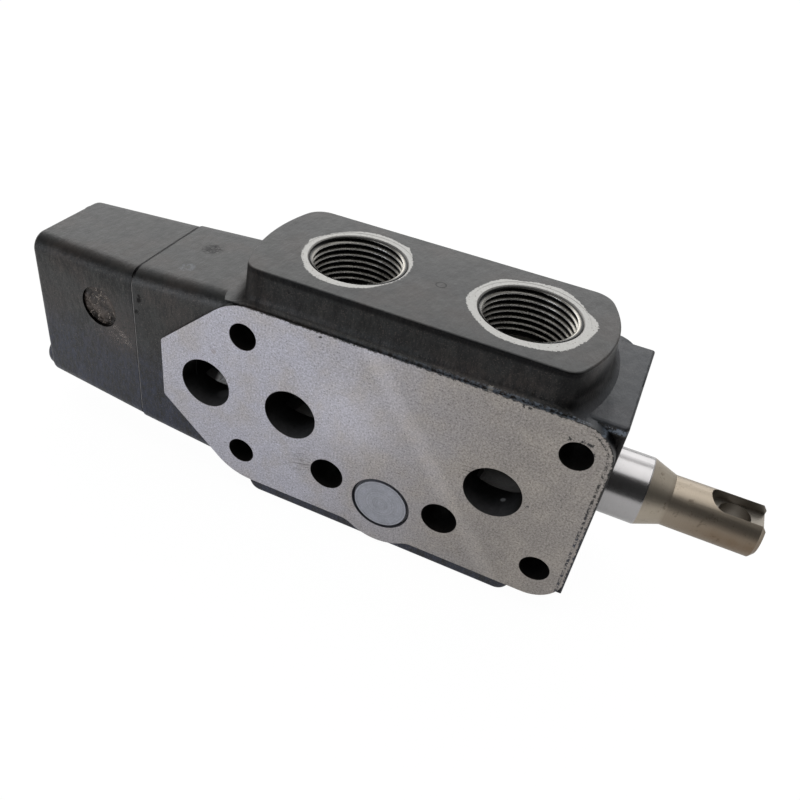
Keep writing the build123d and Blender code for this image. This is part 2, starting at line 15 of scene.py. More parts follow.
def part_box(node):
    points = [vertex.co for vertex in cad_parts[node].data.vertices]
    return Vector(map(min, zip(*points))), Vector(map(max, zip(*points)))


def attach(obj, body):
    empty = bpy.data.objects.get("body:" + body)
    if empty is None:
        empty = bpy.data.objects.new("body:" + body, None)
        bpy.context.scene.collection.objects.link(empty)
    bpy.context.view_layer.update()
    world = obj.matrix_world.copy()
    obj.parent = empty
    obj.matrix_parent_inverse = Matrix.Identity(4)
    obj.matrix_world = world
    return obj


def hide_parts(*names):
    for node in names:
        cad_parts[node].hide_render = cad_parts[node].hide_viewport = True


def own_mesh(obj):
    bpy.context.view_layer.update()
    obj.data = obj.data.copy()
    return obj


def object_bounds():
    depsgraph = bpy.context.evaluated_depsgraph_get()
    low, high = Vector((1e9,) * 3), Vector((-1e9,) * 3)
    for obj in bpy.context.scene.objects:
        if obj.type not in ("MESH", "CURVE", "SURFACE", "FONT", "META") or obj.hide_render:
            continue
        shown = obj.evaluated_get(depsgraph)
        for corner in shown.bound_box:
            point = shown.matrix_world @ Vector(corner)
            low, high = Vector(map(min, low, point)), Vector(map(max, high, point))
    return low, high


log = logging.getLogger("valve_section")

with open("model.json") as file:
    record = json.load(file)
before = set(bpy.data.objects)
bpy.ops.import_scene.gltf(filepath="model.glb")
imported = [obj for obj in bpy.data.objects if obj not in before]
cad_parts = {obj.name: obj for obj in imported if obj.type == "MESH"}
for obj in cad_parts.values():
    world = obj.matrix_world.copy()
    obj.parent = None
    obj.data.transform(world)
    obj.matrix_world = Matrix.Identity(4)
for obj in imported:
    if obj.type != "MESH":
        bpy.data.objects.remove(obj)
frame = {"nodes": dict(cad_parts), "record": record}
cad_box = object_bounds()

MM = 0.001

# Sizes of the casting that the mounts don't give, in millimetres
GALLERY_XS = (-73.4, -38.4, 37.2)
GALLERY_RADIUS = 10.0
FEED_REACH = 22.0
FEED_DROP = 20.7
FEED_RADIUS = 6.5
CHAMBER_RADIUS = 17.5
CHECK_GROOVE = 1.26
# Reach of the pale grey painted light in the ring round the load check plug
CHECK_GROOVE_COLOUR = 1.3
PORT_RING_DEPTH = 0.06

# How far a bore's finish reaches past its wall, and how softly it ends, in millimetres
RIM = 0.06
RIM_SOFT = 0.08

Colour = tuple[float, float, float, float]
Triple = tuple[float, float, float]
Spot = tuple[Triple, float]

WHITE: Colour = (1.0, 1.0, 1.0, 1.0)


def srgb(red: float, green: float, blue: float) -> Colour:
    """Turn a colour in 0 to 255 display values into linear light.

    Args:
        red: Display value of red.
        green: Display value of green.
        blue: Display value of blue.

    Returns:
        The linear colour with an alpha of 1.
    """

    def linear(value: float) -> float:
        """Undo the display curve of one channel."""
        share = value / 255
        return share / 12.92 if share <= 0.04045 else ((share + 0.055) / 1.055) ** 2.4

    return (linear(red), linear(green), linear(blue), 1.0)


SPRING_GREY = srgb(92, 92, 96)
STEEL_GREY = srgb(150, 150, 152)


class Blend(Enum):
    """How a second colour lies over the first."""

    COVER = "MIX"
    MULTIPLY = "MULTIPLY"


@dataclass(frozen=True)
class Hole:
    """Round hole of the casting, by its centre and radius in millimetres.

    The first coordinate of the centre runs along the spool, and the second runs along whichever
    of the other two axes the hole doesn't follow.
    """

    centre: tuple[float, float]
    radius: float


@dataclass(frozen=True)
class Layout:
    """Places on the section that the finishes need, in millimetres."""

    thickness: float
    spool_depth: float
    boss_top: float
    ring_height: float
    right_end: float
    joint: float
    tie_rod: Hole
    galleries: tuple[Hole, ...]
    feed: Hole
    check: Hole
    ports: tuple[Hole, ...]

    @staticmethod
    def measured() -> "Layout":
        """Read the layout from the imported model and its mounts.

        Returns:
            The layout.
        """
        low, high = (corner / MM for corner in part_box("valve_body"))
        plug_low, plug_high = (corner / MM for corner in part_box("load_check_plug"))
        mounts = {mount["name"]: mount for mount in frame["record"]["mounts"]}
        rods = mounts["tie_rod_holes"]["dims"]

        def port(mount: dict) -> Hole:
            """Mouth of a work port."""
            return Hole((mount["pos_m"][0] / MM, mount["pos_m"][1] / MM), mount["dims"]["r_mm"])

        return Layout(
            thickness=high.y,
            spool_depth=mounts["port_a"]["pos_m"][1] / MM,
            boss_top=high.z,
            ring_height=high.z - PORT_RING_DEPTH,
            right_end=high.x,
            joint=low.x,
            tie_rod=Hole((rods["spacing_x_mm"] / 2, rods["spacing_y_mm"] / 2), rods["hole_r_mm"]),
            galleries=tuple(Hole((x, 0), GALLERY_RADIUS) for x in GALLERY_XS),
            feed=Hole((FEED_REACH, -FEED_DROP), FEED_RADIUS),
            check=Hole((0, (plug_low.z + plug_high.z) / 2), (plug_high.x - plug_low.x) / 2),
            ports=(port(mounts["port_a"]), port(mounts["port_b"])),
        )


def math_method(name: str) -> Callable[..., "Signal"]:
    """Make a method of Signal that adds one Math node.

    Args:
        name: Blender's name of the node's operation.

    Returns:
        The method.
    """

    def method(signal: "Signal", *others: "Signal | float") -> "Signal":
        """Result of the node, with the signal as its first value."""
        return signal.math(name, *others)

    return method


class Signal:
    """Output socket of a shader node that Python's operators turn into Math nodes."""

    def __init__(self, graph: "Graph", socket: bpy.types.NodeSocket) -> None:
        """Wrap a socket of the given graph."""
        self.graph = graph
        self.socket = socket

    def math(self, operation: str, *others: "Signal | float") -> "Signal":
        """Result of one Math node with this signal as its first value."""
        values = dict(enumerate((self, *others)))
        return self.graph.signal("ShaderNodeMath", {"operation": operation}, values)

    __add__ = __radd__ = math_method("ADD")
    __sub__ = math_method("SUBTRACT")
    __mul__ = __rmul__ = math_method("MULTIPLY")
    __truediv__ = math_method("DIVIDE")
    __pow__ = math_method("POWER")
    __abs__ = math_method("ABSOLUTE")
    least = math_method("MINIMUM")
    most = math_method("MAXIMUM")
    sine = math_method("SINE")
    arctan2 = math_method("ARCTAN2")

    def __rsub__(self, other: float) -> "Signal":
        """Difference from a plain number."""
        return self.graph.signal("ShaderNodeMath", {"operation": "SUBTRACT"}, {0: other, 1: self})

    def step(self, edge: float, soft: float) -> "Signal":
        """Smooth mask that rises from 0 to 1 about an edge, over the soft width."""
        values = {"Value": self, "From Min": edge - soft / 2, "From Max": edge + soft / 2}
        return self.graph.signal("ShaderNodeMapRange", {"interpolation_type": "SMOOTHSTEP"}, values)

    def below(self, edge: float, soft: float) -> "Signal":
        """Smooth mask that falls from 1 to 0 about an edge, over the soft width."""
        return 1 - self.step(edge, soft)


def any_of(masks: Iterable[Signal]) -> Signal:
    """Mask of whatever lies in at least one of several masks."""
    return reduce(Signal.most, masks)


class Graph:
    """Node tree of a material or the world, with a single method that adds any node."""

    def __init__(self, owner: bpy.types.Material | bpy.types.World) -> None:
        """Empty the owner's node tree."""
        owner.use_nodes = True
        owner.node_tree.nodes.clear()
        self.owner = owner
        self.tree = owner.node_tree

    def add(
        self, kind: str, settings: dict | None = None, values: dict | None = None
    ) -> bpy.types.Node:
        """Add a node.

        Args:
            kind: Blender's name of the node's type.
            settings: Attributes of the node, with a curve's points under "points".
            values: Numbers, colours or signals by the name or number of their socket.

        Returns:
            The new node.
        """
        node = self.tree.nodes.new(kind)
        for name, value in (settings or {}).items():
            if name == "points":
                self._set_points(node.mapping, value)
            else:
                setattr(node, name, value)
        for name, value in (values or {}).items():
            if isinstance(value, Signal):
                self.tree.links.new(value.socket, node.inputs[name])
            else:
                node.inputs[name].default_value = value
        return node

    def signal(
        self,
        kind: str,
        settings: dict | None = None,
        values: dict | None = None,
        output: int | str = 0,
    ) -> Signal:
        """Add a node and return one of its outputs."""
        return Signal(self, self.add(kind, settings, values).outputs[output])

    @staticmethod
    def _set_points(
        mapping: bpy.types.CurveMapping, points: Sequence[tuple[float, float]]
    ) -> None:
        """Give a curve its points.

        Args:
            mapping: The curve node's mapping.
            points: Points of the curve from the first value to the last.
        """
        curve = mapping.curves[0]
        while len(curve.points) < len(points):
            curve.points.new(0.5, 0.5)
        for point, place in zip(curve.points, points):
            point.location = place
            point.handle_type = "VECTOR"
        mapping.update()

    def vector(self, operation: str, values: dict, output: int | str = 0) -> Signal:
        """Result of one Vector Math node."""
        return self.signal("ShaderNodeVectorMath", {"operation": operation}, values, output)

    @cached_property
    def place(self) -> Signal:
        """Place on the piece in millimetres, which stays with the piece when it moves."""
        coordinates = self.signal("ShaderNodeTexCoord", output="Object")
        return self.vector("SCALE", {0: coordinates, "Scale": 1 / MM})

    @cached_property
    def axes(self) -> tuple[Signal, Signal, Signal]:
        """Place along the spool, in depth and in height, in millimetres."""
        return self.split(self.place)

    @cached_property
    def up(self) -> Signal:
        """Mask of the surfaces that face up."""
        normal = self.signal("ShaderNodeTexCoord", output="Normal")
        return self.split(normal)[2].step(0.6, 0.5)

    def split(self, vector: Signal) -> tuple[Signal, Signal, Signal]:
        """Three coordinates of a vector."""
        node = self.add("ShaderNodeSeparateXYZ", values={0: vector})
        return tuple(Signal(self, output) for output in node.outputs)

    def join(self, x: Signal | float, y: Signal | float, z: Signal | float) -> Signal:
        """Vector of three coordinates."""
        return self.signal("ShaderNodeCombineXYZ", values={"X": x, "Y": y, "Z": z})

    def stretched(self, factors: Triple) -> Signal:
        """Place with each coordinate multiplied by its own factor."""
        return self.vector("MULTIPLY", {0: self.place, 1: factors})

    def away(self, centre: Triple) -> Signal:
        """Distance from a point in millimetres."""
        return self.vector("DISTANCE", {0: self.place, 1: centre}, "Value")

    def noise(
        self, size: float, detail: float = 3.0, rough: float = 0.5, at: Signal | None = None
    ) -> Signal:
        """Smooth noise of about 0 to 1.

        Args:
            size: Size of the largest blotches in millimetres.
            detail: Number of finer layers.
            rough: Strength of each finer layer.
            at: Where the noise is read, which is the place itself unless given.

        Returns:
            The noise.
        """
        values = {"Vector": at or self.place, "Scale": 1 / size}
        values |= {"Detail": detail, "Roughness": rough}
        return self.signal("ShaderNodeTexNoise", values=values)

    def specks(self, size: float, share: float, at: Signal | None = None) -> Signal:
        """Mask of scattered round specks.

        Args:
            size: Distance between neighbouring specks in millimetres.
            share: Radius of a speck as a share of that distance.
            at: Where the specks are read, which is the place itself unless given.

        Returns:
            The mask, 1 inside a speck.
        """
        values = {"Vector": at or self.place, "Scale": 1 / size}
        cells = self.signal("ShaderNodeTexVoronoi", values=values, output="Distance")
        return cells.below(share, share * 0.6)

    def mix(
        self,
        mask: Signal | float,
        low: Signal | Colour,
        high: Signal | Colour,
        blend: Blend = Blend.COVER,
    ) -> Signal:
        """Blend of two colours, the second where the mask is 1."""
        settings = {"data_type": "RGBA", "blend_type": blend.value}
        return self.signal("ShaderNodeMix", settings, {0: mask, 6: low, 7: high}, output=2)

    def shade(self, colour: Signal | Colour, factor: Signal) -> Signal:
        """Colour multiplied by a number that varies over the surface."""
        return self.mix(1.0, colour, self.join(factor, factor, factor), Blend.MULTIPLY)

    def ring(self, across: Signal, other: Signal, hole: Hole) -> Signal:
        """Distance from a hole's axis in millimetres."""
        first, second = across - hole.centre[0], other - hole.centre[1]
        return (first * first + second * second) ** 0.5

    def inside(
        self, across: Signal, other: Signal, hole: Hole, more: float = RIM, soft: float = RIM_SOFT
    ) -> Signal:
        """Mask of a hole, grown by a little, with a soft edge."""
        return self.ring(across, other, hole).below(hole.radius + more, soft)

    def bump(self, height: Signal, depth: float, normal: Signal | None = None) -> Signal:
        """Surface normal bent by a height.

        Args:
            height: Height from 0 to 1.
            depth: Real height in millimetres of a height of 1.
            normal: A normal that another bump has bent before.

        Returns:
            The bent normal.
        """
        values = {"Height": height, "Distance": depth * MM, "Strength": 1.0}
        if normal is not None:
            values["Normal"] = normal
        return self.signal("ShaderNodeBump", values=values)

    def finish(self, **sockets: Signal | float | Colour) -> bpy.types.Material:
        """Close the material with a Principled shader.

        Args:
            sockets: Values of the shader's sockets, with underscores for spaces.

        Returns:
            The finished material.
        """
        values = {name.replace("_", " "): value for name, value in sockets.items()}
        shader = self.signal("ShaderNodeBsdfPrincipled", values=values)
        self.add("ShaderNodeOutputMaterial", values={"Surface": shader})
        return self.owner


@dataclass
class Finish(Graph):
    """Look of a piece, built on the node tree of its own new material."""

    name: str

    def __post_init__(self) -> None:
        """Start the material."""
        super().__init__(bpy.data.materials.new(self.name))

    def build(self) -> bpy.types.Material:
        """Close the material, as each finish does in its own way."""
        raise NotImplementedError


@dataclass
class CastPaint(Finish):
    """Dark satin paint on a sand casting: combed grain, blotches, pits, dust and painted glints."""

    light: Colour = srgb(36, 37, 35)
    dark: Colour = srgb(22, 23, 24)
    warm: Colour = srgb(48, 39, 34)
    cool: Colour = srgb(29, 35, 53)
    # pale grains, partly dust and partly painted glints, mostly on the walls
    dust: Colour = srgb(112, 103, 96)
    pit: Colour = srgb(8, 8, 9)
    roughness: float = 0.32
    comb: Triple = (1.0, 0.4, 0.4)
    grain_size: float = 1.0
    grain_depth: float = 0.12
    streak_size: float = 4.5
    skin_size: float = 2.6
    skin_depth: float = 0.25
    swell_size: float = 11.0
    swell_depth: float = 0.16
    warm_size: float = 16.0
    dust_size: float = 0.5
    cool_rise: float = 26.0
    pit_gap: float = 7.0
    pit_wander: float = 3.0

    def grain(self) -> Signal:
        """Fine grain of the paint, drawn out across the spool."""
        return self.noise(self.grain_size, 4.0, 0.75, self.stretched(self.comb))

    def pits(self) -> Signal:
        """Mask of the few small pits that the paint doesn't fill.

        Returns:
            The mask.
        """
        values = {"Vector": self.place, "Scale": 0.5, "Detail": 3.0}
        wander = self.signal("ShaderNodeTexNoise", values=values, output=1)
        moved = self.vector("MULTIPLY_ADD", {0: wander, 1: (self.pit_wander,) * 3, 2: self.place})
        return self.specks(self.pit_gap, 0.09, moved)

    def coat(self) -> Signal:
        """Colour of the paint: clouds, strong grain on walls, pits, pale dust and painted glints.

        Returns:
            The colour.
        """
        up, z = self.up, self.axes[2]
        clouds = self.noise(self.swell_size, 4.0, 0.55).step(0.5, 0.5)
        base = self.mix(clouds, self.dark, self.light)
        base = self.mix(self.noise(self.warm_size).step(0.56, 0.25) * 0.6, base, self.warm)
        base = self.mix(z.below(0.0, self.cool_rise) * (1 - up) * 0.85, base, self.cool)
        grain = (self.grain() - 0.5) * (6.5 - 5.3 * up)
        streaks = self.noise(self.streak_size, 4.0, 0.65, self.stretched(self.comb))
        strength = 1 + grain + (streaks - 0.5) * (3.4 - 2.8 * up)
        base = self.shade(base, strength.most(0.12))
        # pale grains, partly dust and partly painted glints, stronger on walls than on tops
        dust_and_glints = self.noise(self.dust_size, 2.0, 0.8).step(0.62, 0.12) * (0.5 - 0.45 * up)
        base = self.mix(dust_and_glints, base, self.dust)
        return self.mix(self.pits() * 0.75, base, self.pit)

    def coat_normal(self) -> Signal:
        """Normal of the painted casting.

        Returns:
            The normal.
        """
        swell = self.bump(self.noise(self.swell_size), self.swell_depth)
        skin = self.noise(self.skin_size, 4.0, 0.6, self.stretched(self.comb))
        skin = self.bump(skin, self.skin_depth, swell)
        return self.bump(self.grain(), self.grain_depth, skin)

    def sheen(self) -> Signal:
        """Roughness of the paint, duller where it is thin."""
        return self.roughness + 0.2 * self.noise(3.0, 4.0)

    def build(self) -> bpy.types.Material:
        """Material of a piece that is painted all over."""
        normal = self.coat_normal()
        return self.finish(Base_Color=self.coat(), Roughness=self.sheen(), Normal=normal)


@dataclass(frozen=True)
class GroundIron:
    """Ground cast iron: fine grain, graphite specks, a cool pale end and a warm darker end.

    The change from the cool pale end to the warm darker end is painted light.

    The band is a slanting pale stripe: its direction across the face and its offset. Each group
    of scratches is its place along and up, its reach and its angle.
    """

    cool: Colour = srgb(195, 194, 204)
    warm: Colour = srgb(160, 154, 149)
    tan: Colour = srgb(184, 176, 167)
    speck: Colour = srgb(66, 62, 60)
    cool_end: float = -50.0
    warm_end: float = 45.0
    comb: Triple = (0.3, 1.0, 2.0)
    scratch_depth: float = 0.02
    band: Triple = (0.81, 0.585, 13.0)
    bright_middle: Hole = Hole((-15.0, 8.0), 14.0)
    scratches: tuple[tuple[float, float, float, float], ...] = (
        (-33.0, -20.5, 7.5, 0.3), (28.5, 5.5, 5.5, 0.12), (19.5, -20.0, 4.5, 0.5),
    )

    def colour(self, graph: Graph) -> Signal:
        """Colour of the ground face.

        Args:
            graph: Material under way.

        Returns:
            The colour.
        """
        along, _, up = graph.axes
        # painted light: cool and pale at the left end, warm and darker at the right end
        drift = graph.noise(30.0, 2.0) * 0.5 - 0.25
        share = (along - self.cool_end) / (self.warm_end - self.cool_end)
        change = (share + drift).step(0.5, 1.0)
        base = graph.mix(change, self.cool, self.warm)
        base = graph.mix(graph.noise(15.0, 4.0, 0.6).step(0.55, 0.3) * 0.45, base, self.tan)
        across = abs(along * self.band[0] + up * self.band[1] - self.band[2])
        pale = (across + graph.noise(8.0) * 3.0).below(4.5, 4.0)
        pale = pale + graph.inside(along, up, self.bright_middle, 0.0, 20.0)
        cloud = graph.noise(5.0, 4.0, 0.6) - 0.5
        stripes = graph.noise(0.9, 3.0, 0.7, graph.stretched(self.comb)) - 0.5
        fine = (graph.noise(0.7, 4.0, 0.8) - 0.5) * (2.5 + 0.2 * change)
        strength = 1.0 + 0.17 * pale + 0.25 * cloud + 0.4 * stripes + fine
        base = graph.shade(base, strength - 0.5 * self.rubbed(graph))
        return graph.mix(graph.specks(1.3, 0.16) * 0.45, base, self.speck)

    def rubbed(self, graph: Graph) -> Signal:
        """Mask of the fine dark scratches beside some of the holes.

        Args:
            graph: Material under way.

        Returns:
            The mask.
        """
        masks = []
        for x, z, reach, angle in self.scratches:
            beside, above = graph.axes[0] - x, graph.axes[2] - z
            forth = beside * math.cos(angle) + above * math.sin(angle)
            aside = above * math.cos(angle) - beside * math.sin(angle)
            near = ((forth * forth + aside * aside) ** 0.5).below(reach * 0.6, reach * 0.8)
            lines = graph.noise(0.9, 3.0, 0.7, graph.join(forth * 0.06, aside, 0.0))
            masks.append(near * lines.step(0.54, 0.14))
        return any_of(masks)

    def normal(self, graph: Graph) -> Signal:
        """Normal of the ground face."""
        stripes = graph.noise(0.5, at=graph.stretched(self.comb))
        return graph.bump(stripes, self.scratch_depth)


@dataclass(kw_only=True)
class BodyCasting(CastPaint):
    """Valve body's finish: paint outside, ground faces, bare port rings, raw bores, painted light.

    The painted highlights are bright spots inside the galleries: place, reach and display value.
    The corner is the ground face's rounded one: its centre and radius. Dents and flecks are small
    spots in the paint: place and radius. A ring's outline is its outer radius at angles round its
    port.
    """

    layout: Layout
    ground: GroundIron = GroundIron()
    ring_metal: Colour = srgb(163, 162, 159)
    ring_pit: Colour = srgb(104, 100, 95)
    bore_wall: Colour = srgb(140, 138, 134)
    # pale grey painted light in the narrow ring round the load check plug, lifting its shade
    groove_painted_light: Colour = srgb(110, 110, 115)
    bore_iron: Colour = srgb(24, 24, 25)
    bore_rust: Colour = srgb(42, 38, 35)
    # paler grey painted light on the galleries' floors and along a thin line in the first gallery
    gallery_painted_light: Colour = srgb(112, 112, 114)
    # painted highlights on the gallery walls
    painted_highlights: tuple[tuple[Triple, float, float], ...] = (
        ((-80.5, 24.0, -17.0), 5.2, 253),
        ((-70.6, 8.8, -9.6), 2.6, 130),
        ((40.5, 8.8, -9.4), 0.9, 232),
    )
    # near-black: painted shade round the boss and by the right corner, and the dents and marks
    painted_shade_and_marks: Colour = srgb(12, 12, 14)
    # painted light: lighter bluish tone on the shoulder's top right of the boss
    shoulder: Colour = srgb(56, 63, 73)
    # pale blue-grey of the worn ring, and of painted highlights along edges
    highlight_and_wear: Colour = srgb(132, 143, 156)
    fleck: Colour = srgb(168, 160, 148)
    stained: Colour = srgb(150, 132, 126)
    corner: Triple = (56.4, 26.0, 12.5)
    face_top: float = 39.9
    neck_top: float = 42.0
    shoulder_height: float = 36.9
    chips: tuple[Hole, ...] = (
        Hole((54.9, 31.4), 0.9), Hole((58.2, 31.8), 1.1), Hole((60.6, 31.6), 1.3),
        Hole((62.6, 28.8), 0.8), Hole((-29.0, 36.7), 0.6), Hole((38.9, 37.6), 0.9),
        Hole((40.6, 37.3), 0.8), Hole((49.1, -0.1), 0.7),
    )
    stain: Hole = Hole((-69.7, 15.6), 1.1)
    dents: tuple[Spot, ...] = (
        ((-41.8, 2.8, 47.8), 1.6), ((-33.9, 2.7, 44.9), 1.2), ((-11.8, 2.9, 49.9), 1.3),
        ((-7.6, 2.6, 41.3), 1.1), ((-102.0, 1.4, 24.6), 1.4), ((-103.2, 1.4, 19.5), 1.1),
        ((-101.6, 1.4, 26.6), 0.9),
    )
    flecks: tuple[Spot, ...] = (
        ((-10.2, 2.7, 44.7), 0.7), ((27.8, 0.6, 38.9), 1.3),
    )
    scribble: Hole = Hole((-89.2, 30.2), 3.8)
    worn_ring: Hole = Hole((-89.1, 13.8), 2.0)
    boss_mark: Hole = Hole((-0.2, 27.6), 1.7)
    curve_reach: float = 30.0
    ring_outlines: tuple[tuple[tuple[float, float], ...], ...] = (
        (
            (-180, 19.2), (-163, 19.2), (-136, 19.2), (-125, 20.0), (-103, 20.3), (-73, 19.7),
            (-59, 19.1), (-43, 17.9), (-23, 17.5), (9, 17.8), (35, 18.8), (51, 20.1), (57, 21.1),
            (64, 20.3), (93, 20.8), (111, 20.4), (118, 19.9), (135, 19.3), (153, 19.2),
            (173, 19.9), (180, 19.2),
        ),
        (
            (-180, 20.6), (-169, 20.8), (-146, 19.7), (-127, 19.7), (-113, 20.3), (-76, 20.4),
            (-48, 21.4), (-29, 20.3), (-10, 20.3), (14, 21.4), (34, 19.2), (51, 20.0),
            (77, 21.6), (89, 20.7), (113, 19.7), (129, 20.9), (161, 20.0), (180, 20.6),
        ),
    )

    def gallery_walls(self) -> Signal:
        """Mask of the three oil galleries."""
        x, _, z = self.axes
        return any_of(self.inside(x, z, gallery) for gallery in self.layout.galleries)

    def inside_bores(self) -> Signal:
        """Mask of every hole that runs through the stack, and of the spool's chambers.

        Returns:
            The mask.
        """
        layout = self.layout
        x, y, z = self.axes
        rods = self.inside(abs(x), abs(z), layout.tie_rod)
        feeds = self.inside(abs(x), z, layout.feed)
        check = self.inside(x, z, layout.check, CHECK_GROOVE)
        check = check * y.below(layout.thickness - 5.0, 1.0)
        about_spool = Hole((layout.spool_depth, 0), CHAMBER_RADIUS)
        chamber = self.inside(y, z, about_spool, 0.0, 0.2)
        chamber = chamber * x.below(layout.right_end - 0.1, 0.1) * x.step(layout.joint + 0.1, 0.1)
        return any_of((chamber, rods, self.gallery_walls(), feeds, check))

    def bore_colour(self) -> Signal:
        """Colour inside the bores: dark iron, with painted light on the galleries' floors and along
        a thin line, painted highlights in a few spots, and a pale grey painted light round the load
        check.

        Returns:
            The colour.
        """
        x, y, z = self.axes
        colour = self.mix(self.noise(5.0, 4.0), self.bore_iron, self.bore_rust)
        # painted light on the galleries' floors
        floors = self.gallery_walls() * z.below(-5.5, 7.0) * y.below(9.0, 12.0)
        floors = floors * (0.35 + 0.65 * self.noise(2.0))
        colour = self.mix(floors, colour, self.gallery_painted_light)
        # painted highlights: bright spots on the gallery walls
        for centre, reach, shade in self.painted_highlights:
            near = self.away(centre).below(reach, reach * 0.8)
            colour = self.mix(near, colour, srgb(shade, shade, shade + 2))
        # painted highlight: a thin pale line on the first gallery's wall
        edge = abs(y - z * 0.3 - 9.2).below(0.25, 0.25) * x.below(-81.3, 0.6)
        edge = edge * z.step(-4.6, 0.6) * z.below(1.2, 0.6)
        colour = self.mix(edge * 0.7, colour, self.gallery_painted_light)
        # pale grey painted light in the narrow ring round the load check plug
        groove_painted_light = self.inside(x, z, self.layout.check, CHECK_GROOVE_COLOUR) * y.below(3.0, 1.0)
        return self.mix(groove_painted_light, colour, self.groove_painted_light)

    def faces(self) -> Signal:
        """Mask of the two ground faces, less the front's specks of paint and its chips.

        Returns:
            The mask.
        """
        x, y, z = self.axes
        faces = y.below(0.04, 0.04).most(y.step(self.layout.thickness - 0.04, 0.04))
        ragged = self.noise(1.3, 4.0, 0.75)
        right, up, radius = self.corner
        beyond = (x - right).most(0.0)
        above = (z - up).most(0.0)
        reach = (beyond * beyond + above * above) ** 0.5
        whole = (reach + ragged * 3.0).below(radius + 1.1, 0.4)
        whole = whole * (z + ragged * 3.2).below(self.face_top, 0.4)
        line = abs(reach - radius + 1.7).below(0.45, 0.3) * ragged.step(0.5, 0.05)
        line = line * x.step(60.0, 6.0)
        torn = (ragged - 0.5) * 5.0
        chips = any_of(
            (self.ring(x, z, chip) + torn).below(chip.radius * 0.6, 0.2) for chip in self.chips
        )
        marks = line.most(chips) * y.below(5.0, 1.0)
        return faces * whole * (1 - marks * 0.95)

    def spots(self, spots: tuple[Spot, ...]) -> Signal:
        """Mask of small ragged spots, each given by its centre and radius."""
        ragged = self.noise(0.9, 3.0, 0.8) * 3.6 - 1.8
        return any_of((self.away(at) + ragged).below(reach * 0.7, 0.5) for at, reach in spots)

    def marked_and_lit(self, colour: Signal) -> Signal:
        """Paint with its small pale marks, flecks and a worn ring, and with painted light.

        The painted light is a paler bluish top on the shoulder and highlights along edges.

        Args:
            colour: Colour of the unmarked paint.

        Returns:
            The paint with its marks and painted light.
        """
        x, y, z = self.axes
        fine = self.noise(1.1, 3.0, 0.75)
        colour = self.mix(self.spots(self.flecks) * 0.85, colour, self.fleck)
        low_top = self.up * z.below(self.neck_top, 2.0)
        ring = abs(self.ring(x, y, self.worn_ring) - self.worn_ring.radius).below(0.9, 1.0)
        colour = self.mix(ring * fine.step(0.5, 0.08) * low_top * 0.22, colour, self.highlight_and_wear)
        # painted light: lighter bluish top on the shoulder right of the boss
        colour = self.mix(x.step(54.0, 10.0) * low_top * 0.42, colour, self.shoulder)
        # painted highlights along the block's front top edge and the boss's foot
        edge = x.step(63.0, 3.0) * abs(z - self.shoulder_height).below(0.9, 0.6)
        foot = y.below(1.3, 0.8) * z.step(38.3, 0.3) * z.below(39.6, 0.6) * x.step(0.0, 90.0)
        lines = (edge * fine.step(0.47, 0.1)).most(foot * fine.step(0.5, 0.1) * 0.6)
        return self.mix(lines * 0.8, colour, self.highlight_and_wear)

    def dark_marks(self) -> Signal:
        """Mask of the dents in the walls, the scribble on the neck and the ring on the boss.

        Returns:
            The mask.
        """
        x, y, z = self.axes
        fine = self.noise(1.0, 3.0, 0.75)
        scribble = self.inside(x, y, self.scribble, 0.0, 2.0) * fine.step(0.47, 0.06)
        scribble = scribble * self.up * z.below(self.neck_top, 2.0)
        mark = abs(self.ring(x, y, self.boss_mark) - self.boss_mark.radius).below(0.24, 0.3)
        mark = mark * z.step(self.layout.boss_top - 0.5, 0.2) * fine.step(0.35, 0.2) * 0.7
        return any_of((self.spots(self.dents) * 0.9, scribble, mark))

    def outline(self, port: Hole, points: tuple[tuple[float, float], ...]) -> Signal:
        """Radius of a ring's outer edge in the direction of a place about its port.

        Args:
            port: The port inside the ring.
            points: Angle in degrees and radius of points along the edge.

        Returns:
            The radius.
        """
        x, y, _ = self.axes
        turn = (y - port.centre[1]).arctan2(x - port.centre[0]) / math.tau + 0.5
        shares = [(angle / 360 + 0.5, reach / self.curve_reach) for angle, reach in points]
        curve = self.signal("ShaderNodeFloatCurve", {"points": shares}, {"Value": turn})
        return curve * self.curve_reach

    def rings(self) -> Signal:
        """Mask of the bare rings round the ports, with a ragged paint edge.

        Returns:
            The mask.
        """
        x, y, z = self.axes
        ragged = self.noise(0.9, 4.0, 0.8) * 2.2 - 1.1
        rings = any_of(
            (self.ring(x, y, port) + ragged - self.outline(port, points)).below(0.0, 0.25)
            for port, points in zip(self.layout.ports, self.ring_outlines)
        )
        return rings * z.step(self.layout.ring_height - 0.9, 0.1)

    def painted_shade_and_joint(self) -> Signal:
        """Mask of painted shade round the boss and beside the right corner, and of the dark joint.

        Returns:
            The mask.
        """
        x, y, z = self.axes
        wall = 1 - self.up
        depth = self.layout.boss_top - z
        near = y.below(9.0, 6.0) * wall
        clouds = 0.25 + 0.5 * self.noise(7.0, 4.0, 0.6)
        # painted shade: the boss's front wall in clouds, its top edge, its foot and its ends
        front = depth.below(12.0, 1.0) * near * clouds
        edge = depth.below(2.6, 2.4) * near * 0.92
        foot = depth.step(10.4, 3.0) * depth.below(14.1, 0.5) * y.step(1.3, 0.8) * 0.9
        foot = foot * (wall + 0.25).least(1.0)
        ends = x.step(44.0, 10.0).most(x.below(-48.0, 12.0)) * depth.below(13.0, 1.0)
        ends = ends * y.below(10.0, 8.0) * wall * 0.75
